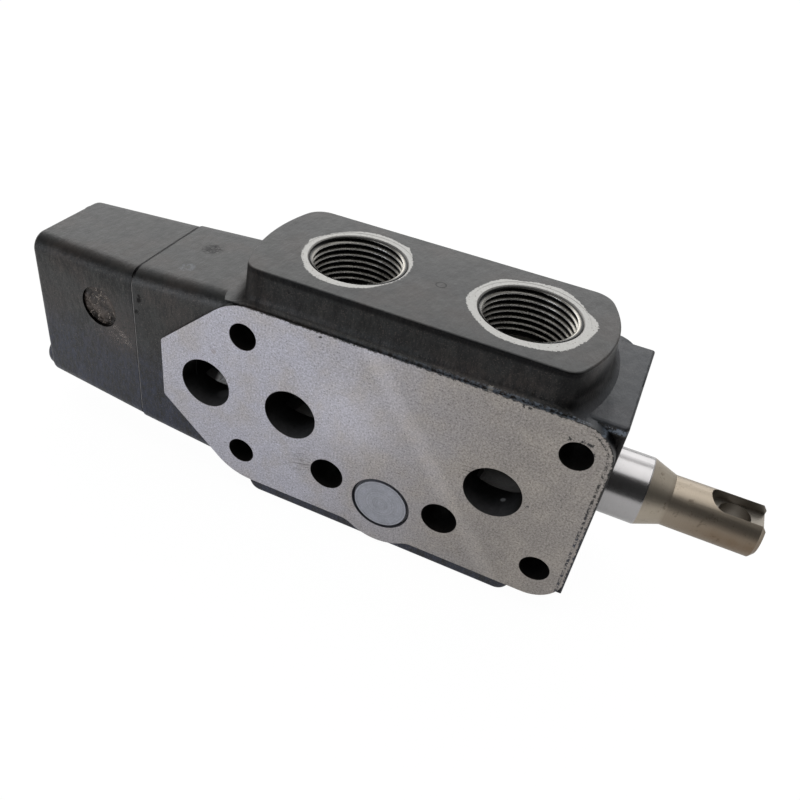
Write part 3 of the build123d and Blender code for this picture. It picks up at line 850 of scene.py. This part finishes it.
        # painted shade in the crease at the boss's right foot and beside the right corner
        crease = x.step(48.0, 8.0) * x.below(64.0, 4.0) * y.below(20.0, 16.0) * y.step(1.3, 0.8)
        crease = crease * depth.below(14.1, 0.5) * depth.step(5.0, 6.0)
        crease = crease * (wall + 0.55).least(1.0) * 0.85
        corner = x.step(62.5, 1.5) * z.below(35.6, 1.0) * y.step(1.0, 1.0) * y.below(7.0, 1.0)
        joint = x.below(self.layout.joint + 0.45, 0.2) * self.up
        return any_of((front, edge, foot, ends, crease, corner * 0.9, joint))

    def port_bores(self) -> Signal:
        """Mask of the bare walls and floors of the ports.

        Returns:
            The mask.
        """
        x, y, z = self.axes
        ports = any_of(self.inside(x, y, port, 0.65, 0.1) for port in self.layout.ports)
        return ports * z.step(12.0, 0.1)

    def build(self) -> bpy.types.Material:
        """Material of the casting, with every finish in its place.

        Returns:
            The material.
        """
        x, _, z = self.axes
        faces, bores, ports = self.faces(), self.inside_bores(), self.port_bores()
        bare = self.rings().most(ports)
        metal = faces.most(bare)
        ring = self.shade(self.ring_metal, 0.7 + 0.55 * self.noise(0.5, 3.0, 0.7))
        ring = self.mix(self.specks(1.2, 0.18) * 0.8, ring, self.ring_pit)
        walls = ports * z.below(self.layout.ring_height - 0.15, 0.15)
        ring = self.mix(walls, ring, self.bore_wall)
        paint = self.marked_and_lit(self.coat())
        # painted shade round the boss and by the right corner, with the dents and marks
        painted_shade_and_marks = self.painted_shade_and_joint().most(self.dark_marks())
        paint = self.mix(painted_shade_and_marks * 0.85, paint, self.painted_shade_and_marks)
        iron = self.ground.colour(self)
        iron = self.mix(self.inside(x, z, self.stain, 0.0, 0.8) * 0.3, iron, self.stained)
        colour = self.mix(faces, paint, iron)
        colour = self.mix(bare, colour, ring)
        colour = self.mix(bores, colour, self.bore_colour())
        dull = self.sheen()
        dull = dull + (0.42 - dull) * metal
        dull = dull + (0.5 - dull) * bores
        # metallic on the painted shade takes away its diffuse light and darkens it further
        shiny = any_of((metal * 0.75, bores * 0.5, painted_shade_and_marks * (1 - metal) * 0.9))
        normals = {0: metal, 4: self.coat_normal(), 5: self.ground.normal(self)}
        normal = self.signal("ShaderNodeMix", {"data_type": "VECTOR"}, normals, output=1)
        return self.finish(Base_Color=colour, Metallic=shiny, Roughness=dull, Normal=normal)


@dataclass(kw_only=True)
class CapCasting(CastPaint):
    """Paint of the end cap, with scuffed bare specks beside the core plug, and painted light.

    Each scuff is its centre, its reach and the level of grain above which it is bare.
    """

    plug: Hole
    joint: float
    scuff: Colour = srgb(196, 181, 172)
    # brownish painted sheen, speckled, on the wall beside the core plug
    painted_sheen: Colour = srgb(74, 63, 58)
    # near-black painted shade on the walls round the core plug
    painted_recess_shade: Colour = srgb(14, 13, 13)
    gap: Colour = srgb(12, 12, 13)
    painted_sheen_place: Hole = Hole((-112.0, 8.0), 10.0)
    scuffs: tuple[tuple[Triple, float, float], ...] = (
        ((-107.6, 3.0, 2.6), 2.2, 0.56),
        ((-109.6, 3.0, 4.2), 2.6, 0.53),
        ((-111.6, 3.0, 6.4), 2.6, 0.54),
        ((-114.6, 3.0, 8.2), 2.4, 0.55),
        ((-114.8, 3.0, 4.0), 6.0, 0.61),
        ((-124.0, 3.0, 3.2), 6.5, 0.65),
    )

    def worn(self) -> Signal:
        """Mask of the bare specks, densest in the middle of each scuff.

        Returns:
            The mask.
        """
        grain = self.noise(0.36, 2.0, 0.8)
        masks = []
        for centre, reach, level in self.scuffs:
            away = self.away(centre)
            bare = (grain - away / reach * 0.1).step(level, 0.05)
            masks.append(bare * away.below(reach, reach))
        return any_of(masks)

    def build(self) -> bpy.types.Material:
        """Material of the cap.

        Returns:
            The material.
        """
        x, y, z = self.axes
        # walls round the core plug, painted near-black and metallic as painted shade
        inside = self.inside(x, z, self.plug, 0.05, 0.1) * y.below(12.0, 1.0)
        speckle = self.noise(0.8, 3.0, 0.8).step(0.5, 0.25)
        # brownish painted sheen, speckled, beside the core plug
        near = self.inside(x, z, self.painted_sheen_place, 0.0, 16.0) * speckle
        joint = x.step(self.joint - 0.4, 0.2) * self.up
        # painted shade: the upper walls below the top are made partly metallic, which darkens them
        painted_shade_below_top = z.step(23.0, 9.0) * (1 - self.up)
        colour = self.mix(near * 0.75, self.coat(), self.painted_sheen)
        colour = self.mix(self.worn(), colour, self.scuff)
        colour = self.mix(inside, colour, self.painted_recess_shade)
        colour = self.mix(joint, colour, self.gap)
        return self.finish(
            Base_Color=colour,
            Metallic=any_of((painted_shade_below_top * 0.35, inside * 0.9, joint * 0.9)),
            Roughness=self.sheen(),
            Normal=self.coat_normal(),
        )


@dataclass
class GasketEdge(Finish):
    """Gasket edge: dark gap on top; paint over it on the walls, made pale as painted light."""

    gap: Colour = srgb(12, 12, 13)
    # pale, far lighter than the paint, as painted light that lifts the shade of the narrow line
    pale_wall_painted_light: Colour = srgb(150, 147, 146)

    def build(self) -> bpy.types.Material:
        """Material of the gasket.

        Returns:
            The material.
        """
        colour = self.mix(self.up, self.pale_wall_painted_light, self.gap)
        return self.finish(
            Base_Color=self.shade(colour, 0.6 + 0.8 * self.noise(1.2, 3.0, 0.7)),
            Metallic=self.up,
            Roughness=0.5,
            Normal=self.bump(self.noise(0.8), 0.05),
        )


@dataclass
class CorePlug(Finish):
    """Rough sunken disc in the cap, torn and thinly painted."""

    low: Colour = srgb(40, 36, 34)
    high: Colour = srgb(88, 79, 73)
    bright: Colour = srgb(176, 164, 154)
    lump_size: float = 5.0
    lump_depth: float = 2.4
    ridge_size: float = 6.0
    ridge_depth: float = 0.3

    def build(self) -> bpy.types.Material:
        """Material of the plug.

        Returns:
            The material.
        """
        lumps = self.noise(self.lump_size, 3.0, 0.6)
        ridges = abs(self.noise(self.ridge_size, 3.0, 0.6) - 0.5).below(0.012, 0.016)
        colour = self.mix(lumps.step(0.5, 0.3), self.low, self.high)
        colour = self.mix(ridges * 0.7, colour, self.bright)
        return self.finish(
            Base_Color=self.shade(colour, 0.4 + 1.2 * self.noise(0.6, 3.0, 0.7)),
            Roughness=0.38,
            Metallic=0.35,
            Normal=self.bump(ridges, self.ridge_depth, self.bump(lumps, self.lump_depth)),
        )


@dataclass
class SpoolSteel(Finish):
    """Spool: polished lands, and a warmer brushed cone and shaft with turning lines."""

    shoulder: float
    slot: Hole
    slot_start: float
    polished: Colour = srgb(180, 178, 178)
    brushed: Colour = srgb(164, 153, 138)
    cone: Colour = srgb(200, 191, 176)
    lower_side_brown: Colour = srgb(118, 99, 79)
    hollow: Colour = srgb(150, 145, 137)
    stain: Colour = srgb(84, 71, 58)
    unlit: Colour = srgb(30, 30, 31)
    cone_end: float = 90.0
    hidden_end: float = 56.0
    socket: float = 8.7

    def build(self) -> bpy.types.Material:
        """Material of the spool.

        Returns:
            The material.
        """
        x, y, z = self.axes
        outside = x.step(self.shoulder, 0.4)
        lines = self.noise(0.35, 3.0, 0.7, self.join(x, 0.0, 0.0))
        cloud = self.noise(6.0, 4.0)
        stains = self.noise(3.0, 5.0, 0.75).step(0.62, 0.12) * (0.15 + 0.3 * outside)
        # browner on the lower side of the shaft, towards its tip
        browned = x.step(self.slot_start - 4.0, 34.0) * z.below(3.0, 9.0) * (0.4 + 0.8 * cloud)
        inside = abs(y - self.slot.centre[0]).below(self.slot.radius + RIM, RIM_SOFT)
        inside = inside * x.step(self.slot_start, 0.1)
        inside = inside * self.inside(y, z, Hole(self.slot.centre, self.socket), 0.0)
        colour = self.mix(outside, self.polished, self.brushed)
        colour = self.mix(outside * x.below(self.cone_end, 2.0) * 0.4, colour, self.cone)
        colour = self.mix(browned, colour, self.lower_side_brown)
        colour = self.mix(stains, colour, self.stain)
        colour = self.mix(inside * (0.7 + 0.3 * lines), colour, self.hollow)
        colour = self.shade(colour, 0.68 + 0.3 * lines + 0.24 * cloud)
        colour = self.mix(x.below(self.hidden_end, 2.0) * 0.9, colour, self.unlit)
        return self.finish(
            Base_Color=colour,
            Metallic=1.0,
            Roughness=0.13 + 0.17 * outside + 0.14 * lines + 0.06 * cloud,
            Normal=self.bump(lines, 0.014),
        )


@dataclass
class TurnedDisc(Finish):
    """Face of the load-check plug: bare steel with concentric turning marks."""

    centre: Hole
    light: Colour = srgb(178, 180, 189)
    dark: Colour = srgb(156, 157, 164)
    pitch: float = 0.9
    mark_depth: float = 0.02

    def build(self) -> bpy.types.Material:
        """Material of the plug.

        Returns:
            The material.
        """
        x, _, z = self.axes
        radius = self.ring(x, z, self.centre)
        wobble = self.noise(2.0) * 0.8
        rings = (radius * (math.tau / self.pitch) + wobble).sine() * 0.5 + 0.5
        band = self.noise(1.6, 2.0, at=self.join(radius, 0.0, 0.0))
        colour = self.mix(band.step(0.5, 0.3) * 0.5 + rings * 0.3, self.light, self.dark)
        cloud = self.noise(4.0) * 0.4 + self.noise(0.8, 3.0, 0.75) * 0.9
        return self.finish(
            Base_Color=self.shade(colour, 0.35 + cloud),
            Metallic=0.5,
            Roughness=0.4,
            Normal=self.bump(rings, self.mark_depth),
        )


@dataclass
class PlainFinish(Finish):
    """Finish of a piece that is one material all over, with its own grain."""

    colour: Colour
    metal: float = 0.0
    roughness: float = 0.42
    grain_size: float = 1.0
    grain_depth: float = 0.02
    contrast: float = 0.3

    def build(self) -> bpy.types.Material:
        """Material of the piece.

        Returns:
            The material.
        """
        grain = self.noise(self.grain_size, 4.0, 0.6)
        shade = 1 - self.contrast / 2 + self.contrast * grain
        return self.finish(
            Base_Color=self.shade(self.colour, shade),
            Metallic=self.metal,
            Roughness=self.roughness + 0.1 * grain,
            Normal=self.bump(grain, self.grain_depth),
        )


@dataclass
class ThreadMetal(Finish):
    """Cut thread: crests with painted highlights, painted shade in the roots, paler lit flanks."""

    port: Hole
    depth: float
    # bare metal of the crests, painted near-white as highlights
    crest_highlight: Colour = srgb(250, 249, 246)
    flank: Colour = srgb(136, 133, 127)
    lit_flank: Colour = srgb(205, 200, 190)
    # near-black painted shade in the roots
    root_shade: Colour = srgb(10, 10, 11)
    lit_start: float = 6.0
    lit_width: float = 12.0

    def build(self) -> bpy.types.Material:
        """Material of the thread.

        Returns:
            The material.
        """
        x, y, _ = self.axes
        height = (self.port.radius - self.ring(x, y, self.port)) / self.depth
        lit = (x - self.port.centre[0]).step(self.lit_start, self.lit_width)
        flank = self.mix(lit, self.flank, self.lit_flank)
        colour = self.mix(height.step(0.56, 0.62), self.root_shade, flank)
        colour = self.mix(height.step(0.97, 0.06), colour, self.crest_highlight)
        dust = self.noise(0.8)
        return self.finish(
            Base_Color=self.shade(colour, 0.95 + 0.1 * dust),
            Metallic=0.7,
            Roughness=0.25 + 0.04 * dust,
            Normal=self.bump(dust, 0.0006),
        )


def dress(finish: Finish, *nodes: str) -> None:
    """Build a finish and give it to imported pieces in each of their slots.

    Args:
        finish: The finish.
        nodes: Names of the pieces.
    """
    material = finish.build()
    for node in nodes:
        for place in frame["nodes"][node].material_slots:
            place.material = material
        log.info("%s wears %s", node, material.name)


def make_piece(
    name: str,
    points: Sequence[Vector | Triple],
    faces: Sequence[tuple[int, ...]],
    material: bpy.types.Material,
    smooth: bool = False,
) -> bpy.types.Object:
    """Link a new mesh of one material into the scene.

    Args:
        name: Name of the piece.
        points: Corners in metres.
        faces: Corners of each face.
        material: The finish.
        smooth: Whether faces of four corners are shaded smooth.

    Returns:
        The new piece.
    """
    mesh = bpy.data.meshes.new(name)
    mesh.from_pydata(points, [], faces)
    mesh.polygons.foreach_set("use_smooth", [smooth and len(face) == 4 for face in faces])
    mesh.update()
    mesh.materials.append(material)
    piece = bpy.data.objects.new(name, mesh)
    bpy.context.scene.collection.objects.link(piece)
    log.info("%s has %d faces", name, len(faces))
    return piece


def strip(near: int, far: int, count: int) -> list[tuple[int, ...]]:
    """Faces between two closed loops, each given by the number of its first point."""
    afters = [(row + 1) % count for row in range(count)]
    return [(near + row, far + row, far + after, near + after) for row, after in enumerate(afters)]


@dataclass
class PortThread:
    """Internal pipe thread of one work port, as a thin ridged sleeve in the port's bore."""

    name: str
    centre: Vector
    bore_radius: float
    mouth: float
    body: str = "housing"
    slot: str = "painted_iron"
    pitch: float = 2.309 * MM
    depth: float = 1.479 * MM
    length: float = 19.0 * MM
    wall: float = 0.03 * MM
    lead_in: float = 0.2 * MM
    run_out: float = 3.0 * MM
    turn_steps: int = 120
    pitch_steps: int = 12
    flat: float = 1.22
    roundness: float = 0.35

    def ridge(self, turn: float, height: float) -> float:
        """Share of the full ridge height at a place on the bore.

        Args:
            turn: Share of a full turn about the port.
            height: Height above the sleeve's lower end.

        Returns:
            The share, from 0 at the root to 1 at the crest.
        """
        phase = (height / self.pitch - turn) % 1.0
        slope = abs(phase * 2 - 1) * 2 - 1
        level = max(-1.0, min(1.0, slope * self.flat))
        rounded = math.sin(level * math.pi / 2)
        level = rounded * self.roundness + level * (1 - self.roundness)
        fade = min(1.0, height / self.run_out, (self.length - height) / self.lead_in)
        return max(0.0, fade) * (level + 1) / 2

    def section(self, turn: float) -> list[tuple[float, float]]:
        """Closed section of the sleeve at one turn.

        Args:
            turn: Share of a full turn about the port.

        Returns:
            Radius and height of each point.
        """
        outer = self.bore_radius - self.wall
        bottom = self.mouth - self.length
        steps = int(self.length / self.pitch * self.pitch_steps)
        heights = [self.length * step / steps for step in range(steps + 1)]
        inner = outer - self.wall
        ridged = [(inner - self.depth * self.ridge(turn, h), bottom + h) for h in heights]
        return ridged + [(outer, self.mouth), (outer, bottom)]

    def build(self) -> None:
        """Make the sleeve and set it on the casting."""
        columns = [self.section(step / self.turn_steps) for step in range(self.turn_steps)]
        count = len(columns[0])
        points, faces = [], []
        for step, column in enumerate(columns):
            angle = step / self.turn_steps * math.tau
            along = Vector((math.cos(angle), math.sin(angle), 0))
            for radius, height in column:
                points.append(self.centre + along * radius + Vector((0, 0, height)))
            faces += strip(step * count, (step + 1) % self.turn_steps * count, count)
        port = Hole(tuple(self.centre.xy / MM), self.bore_radius / MM)
        material = ThreadMetal("port_thread_finish", port, self.depth / MM).build()
        piece = make_piece(self.name, points, faces, material, smooth=True)
        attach(piece, self.body)


@dataclass
class Coil:
    """Open coil spring, or half of one.

    Start, end and anchor are shares of the whole spring's length.
    """

    name: str
    node: str
    axis: Vector
    wire: float
    turns: float
    joint: str
    stroke: float
    start: float = 0.0
    end: float = 1.0
    anchor: float = 0.0
    body: str = "housing"
    slot: str = "spring_steel"
    colour: Colour = SPRING_GREY
    play: float = 0.04 * MM
    sides: int = 12
    turn_steps: int = 40

    def build(self) -> None:
        """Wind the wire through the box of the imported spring, and let it stand for that spring."""
        low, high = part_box(self.node)
        length = (high - low).dot(self.axis)
        foot = (low + high) / 2 - self.axis * length / 2
        side = Vector((0, 0, 1))
        other = self.axis.cross(side)
        radius = ((high - low).z - self.wire) / 2
        steps = int(self.turns * (self.end - self.start) * self.turn_steps)
        last = steps * self.sides
        points = []
        faces = [tuple(range(self.sides)), tuple(range(last, last + self.sides))[::-1]]
        for step in range(steps + 1):
            share = self.start + (self.end - self.start) * step / steps
            angle = share * self.turns * math.tau
            outward = side * math.cos(angle) + other * math.sin(angle)
            along = self.axis * (self.wire / 2 + share * (length - self.wire))
            for corner in range(self.sides):
                turn = corner / self.sides * math.tau
                rim = outward * math.cos(turn) + self.axis * math.sin(turn)
                points.append(foot + along + outward * radius + rim * self.wire / 2)
            if step < steps:
                faces += strip(step * self.sides, (step + 1) * self.sides, self.sides)
        finish = PlainFinish(f"{self.name}_finish", self.colour, 1.0)
        piece = make_piece(self.name, points, faces, finish.build(), smooth=True)
        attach(piece, self.body)
        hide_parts(self.node)
        reach = length * max(abs(self.start - self.anchor), abs(self.end - self.anchor))
        keep = (reach - self.stroke - self.play) / reach
        anchor = foot + self.axis * length * self.anchor
        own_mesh(piece)
        log.info("%s keeps %.2f of its length", self.name, keep)


@dataclass
class ValveBody:
    """Casting with its threads, seals and load check."""

    layout: Layout
    thread_setback: float = 0.15
    check_wire: float = 1.2
    check_turns: float = 6.0
    check_lift: float = 4.0
    rubber_nodes: tuple[str, ...] = (
        "rear_spool_seal", "front_spool_seal", "rod_wiper", "gallery_seals_large",
        "gallery_seals_small",
    )

    def build(self) -> None:
        """Dress the casting and what it holds, thread its ports and wind the check's spring."""
        dress(BodyCasting("valve_body_finish", layout=self.layout), "valve_body")
        mouth = (self.layout.ring_height - self.thread_setback) * MM
        for name, port in zip(("port_a_thread", "port_b_thread"), self.layout.ports):
            centre = Vector((port.centre[0] * MM, port.centre[1] * MM, 0))
            PortThread(name, centre, port.radius * MM, mouth).build()
        dress(TurnedDisc("load_check_plug_finish", self.layout.check), "load_check_plug")
        # the seal round the load check plug is painted lighter grey than it is, to lift the shade of
        # its narrow ring
        groove_painted_light = PlainFinish("plug_seal_finish", srgb(104, 104, 108))
        dress(groove_painted_light, "load_check_plug_seal")
        rubber = PlainFinish("seal_rubber_finish", srgb(26, 26, 27))
        steel = PlainFinish("check_steel_finish", STEEL_GREY, 1.0)
        dress(rubber, *self.rubber_nodes)
        dress(steel, "load_check_seat", "load_check_poppet", "load_check_spring")
        Coil(
            "check_coil", "load_check_spring", Vector((0, 1, 0)), self.check_wire * MM,
            self.check_turns, "load_check_lift", self.check_lift * MM,
        ).build()


@dataclass
class EndCap:
    """Spring cap with its gasket, screws, core plug and centring parts.

    The centring spring is wound in two halves, outer and inner, which meet in the middle with a
    hair's breadth between them.
    """

    spring_wire: float = 2.6
    spring_turns: float = 4.5
    stroke: float = 7.0
    halves: tuple[tuple[str, str, float, float], ...] = (
        ("outer_half_coil", "spool_pull_out", 0.0, 0.4999),
        ("inner_half_coil", "spool_push_in", 0.5001, 1.0),
    )
    steel_nodes: tuple[str, ...] = (
        "inner_spring_seat", "outer_spring_seat", "spring_sleeve", "tail_washer",
        "spool_tail_screw",
    )

    def build(self) -> None:
        """Dress every piece of the cap and wind the centring spring's halves."""
        low, high = (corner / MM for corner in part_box("cap_core_plug"))
        plug = Hole(((low.x + high.x) / 2, (low.z + high.z) / 2), (high.x - low.x) / 2)
        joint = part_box("end_cap")[1].x / MM
        screws = CastPaint("screw_paint", grain_depth=0.02, skin_depth=0.02, swell_depth=0.02)
        steel = PlainFinish("turned_steel_finish", STEEL_GREY, 1.0)
        dress(CapCasting("end_cap_finish", plug=plug, joint=joint), "end_cap")
        dress(CorePlug("cap_core_plug_finish"), "cap_core_plug")
        dress(GasketEdge("end_cap_gasket_finish"), "end_cap_gasket")
        dress(screws, "end_cap_bolts")
        dress(steel, *self.steel_nodes)
        dress(PlainFinish("spring_finish", SPRING_GREY, 1.0), "centring_spring")
        for name, moved_by, start, end in self.halves:
            Coil(
                name, "centring_spring", Vector((1, 0, 0)), self.spring_wire * MM,
                self.spring_turns, moved_by, self.stroke * MM, start, end, anchor=0.5,
            ).build()


@dataclass
class Spool:
    """Sliding spool with the lever's slot at its free end."""

    layout: Layout
    shoulder: float = 82.7
    slot_width: float = 10.6
    slot_length: float = 18.2

    def build(self) -> None:
        """Dress the spool."""
        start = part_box("spool")[1].x / MM - self.slot_length
        slot = Hole((self.layout.spool_depth, 0), self.slot_width / 2)
        dress(SpoolSteel("spool_finish", self.shoulder, slot, start), "spool")


@dataclass(frozen=True)
class Lamp:
    """Soft rectangular lamp that faces the section's middle."""

    name: str
    place: Triple
    size: tuple[float, float]
    power: float
    colour: Colour = WHITE

    def build(self, target: Vector) -> None:
        """Hang the lamp and turn it to the target.

        Args:
            target: Place that the lamp faces.
        """
        data = bpy.data.lights.new(self.name, "AREA")
        data.shape = "RECTANGLE"
        data.size, data.size_y = self.size
        data.energy = self.power
        data.color = self.colour[:3]
        lamp = bpy.data.objects.new(self.name, data)
        lamp.location = self.place
        lamp.rotation_euler = (target - lamp.location).to_track_quat("-Z", "Y").to_euler()
        bpy.context.scene.collection.objects.link(lamp)


@dataclass
class Studio:
    """Pale floor, soft lamps, even surroundings and the camera."""

    floor_level: float
    floor_size: float = 6.0
    floor_colour: Colour = srgb(236, 236, 236)
    background: float = 1.04
    shadow_share: float = 0.06
    surround: float = 0.12
    mirrored_front: float = 0.036
    mirrored_rear: float = 0.48
    mirrored_turn: tuple[float, float] = (-0.35, 0.25)
    mirrored_floor: float = 0.4
    target: Triple = (0.0, 0.03, 0.0)
    lamps: tuple[Lamp, ...] = (
        Lamp("back_lamp", (-0.45, 1.2, 0.75), (2.4, 1.2), 13.0),
        Lamp("top_lamp", (0.0, 0.15, 1.4), (1.4, 1.4), 8.8),
        Lamp("front_lamp", (-0.8, -1.1, 0.2), (1.0, 0.7), 6.0, srgb(244, 248, 255)),
    )
    camera_place: Triple = (0.0563, -0.1922, 0.1774)
    camera_right: Triple = (0.9024, 0.4196, 0.0979)
    camera_up: Triple = (-0.3343, 0.5384, 0.7736)
    lens: float = 35.17
    shift: tuple[float, float] = (0.060, 0.0117)

    def build_floor(self) -> None:
        """Lay the floor, which shows near white and keeps the section's shadow."""
        graph = Graph(bpy.data.materials.new("floor_finish"))
        seen = graph.signal("ShaderNodeLightPath", output="Is Camera Ray")
        mirrored = graph.signal("ShaderNodeLightPath", output="Is Glossy Ray")
        cloth = graph.signal("ShaderNodeBsdfDiffuse", values={"Color": self.floor_colour})
        light = {"Color": WHITE, "Strength": self.background}
        glow = graph.signal("ShaderNodeEmission", values=light)
        share = seen * (1 - self.shadow_share) + mirrored * self.mirrored_floor
        surface = graph.signal("ShaderNodeMixShader", values={0: share, 1: cloth, 2: glow})
        graph.add("ShaderNodeOutputMaterial", values={"Surface": surface})
        half = self.floor_size / 2
        sides = ((-half, -half), (half, -half), (half, half), (-half, half))
        corners = [(x, y, self.floor_level) for x, y in sides]
        floor = make_piece("floor", corners, [(0, 1, 2, 3)], graph.owner)

    def build_world(self) -> None:
        """Surround the section with even light, brighter in reflections from behind."""
        graph = Graph(bpy.data.worlds.new("studio"))
        depth = graph.split(graph.signal("ShaderNodeTexCoord", output="Generated"))[1]
        in_mirror = graph.signal("ShaderNodeLightPath", output="Is Glossy Ray")
        to_camera = graph.signal("ShaderNodeLightPath", output="Is Camera Ray")
        front, rear = self.mirrored_turn
        turn = ((depth - front) / (rear - front)).most(0.0).least(1.0)
        mirrored = self.mirrored_front + turn * (self.mirrored_rear - self.mirrored_front)
        strength = self.surround + in_mirror * (mirrored - self.surround)
        strength = strength + to_camera * (self.background - strength)
        light = {"Color": WHITE, "Strength": strength}
        glow = graph.signal("ShaderNodeBackground", values=light)
        graph.add("ShaderNodeOutputWorld", values={"Surface": glow})
        bpy.context.scene.world = graph.owner

    def build_camera(self) -> None:
        """Stand the camera where the photograph was taken."""
        right, up = Vector(self.camera_right), Vector(self.camera_up)
        right.normalize()
        back = right.cross(up).normalized()
        turn = Matrix((right, back.cross(right), back)).transposed().to_4x4()
        data = bpy.data.cameras.new("camera")
        data.lens = self.lens
        data.shift_x, data.shift_y = self.shift
        data.clip_start = 0.005
        camera = bpy.data.objects.new("camera", data)
        camera.matrix_world = Matrix.Translation(Vector(self.camera_place)) @ turn
        bpy.context.scene.collection.objects.link(camera)
        bpy.context.scene.camera = camera

    def build(self) -> None:
        """Set up the whole studio."""
        bpy.context.scene.view_settings.view_transform = "Standard"
        self.build_floor()
        self.build_world()
        self.build_camera()
        for lamp in self.lamps:
            lamp.build(Vector(self.target))


def main() -> None:
    """Build the section's looks and the studio in order."""
    logging.basicConfig(level=logging.INFO, format="%(name)s: %(message)s")
    layout = Layout.measured()
    ValveBody(layout).build()
    EndCap().build()
    Spool(layout).build()
    Studio(cad_box[0].z).build()


if __name__ == "__main__":
    main()
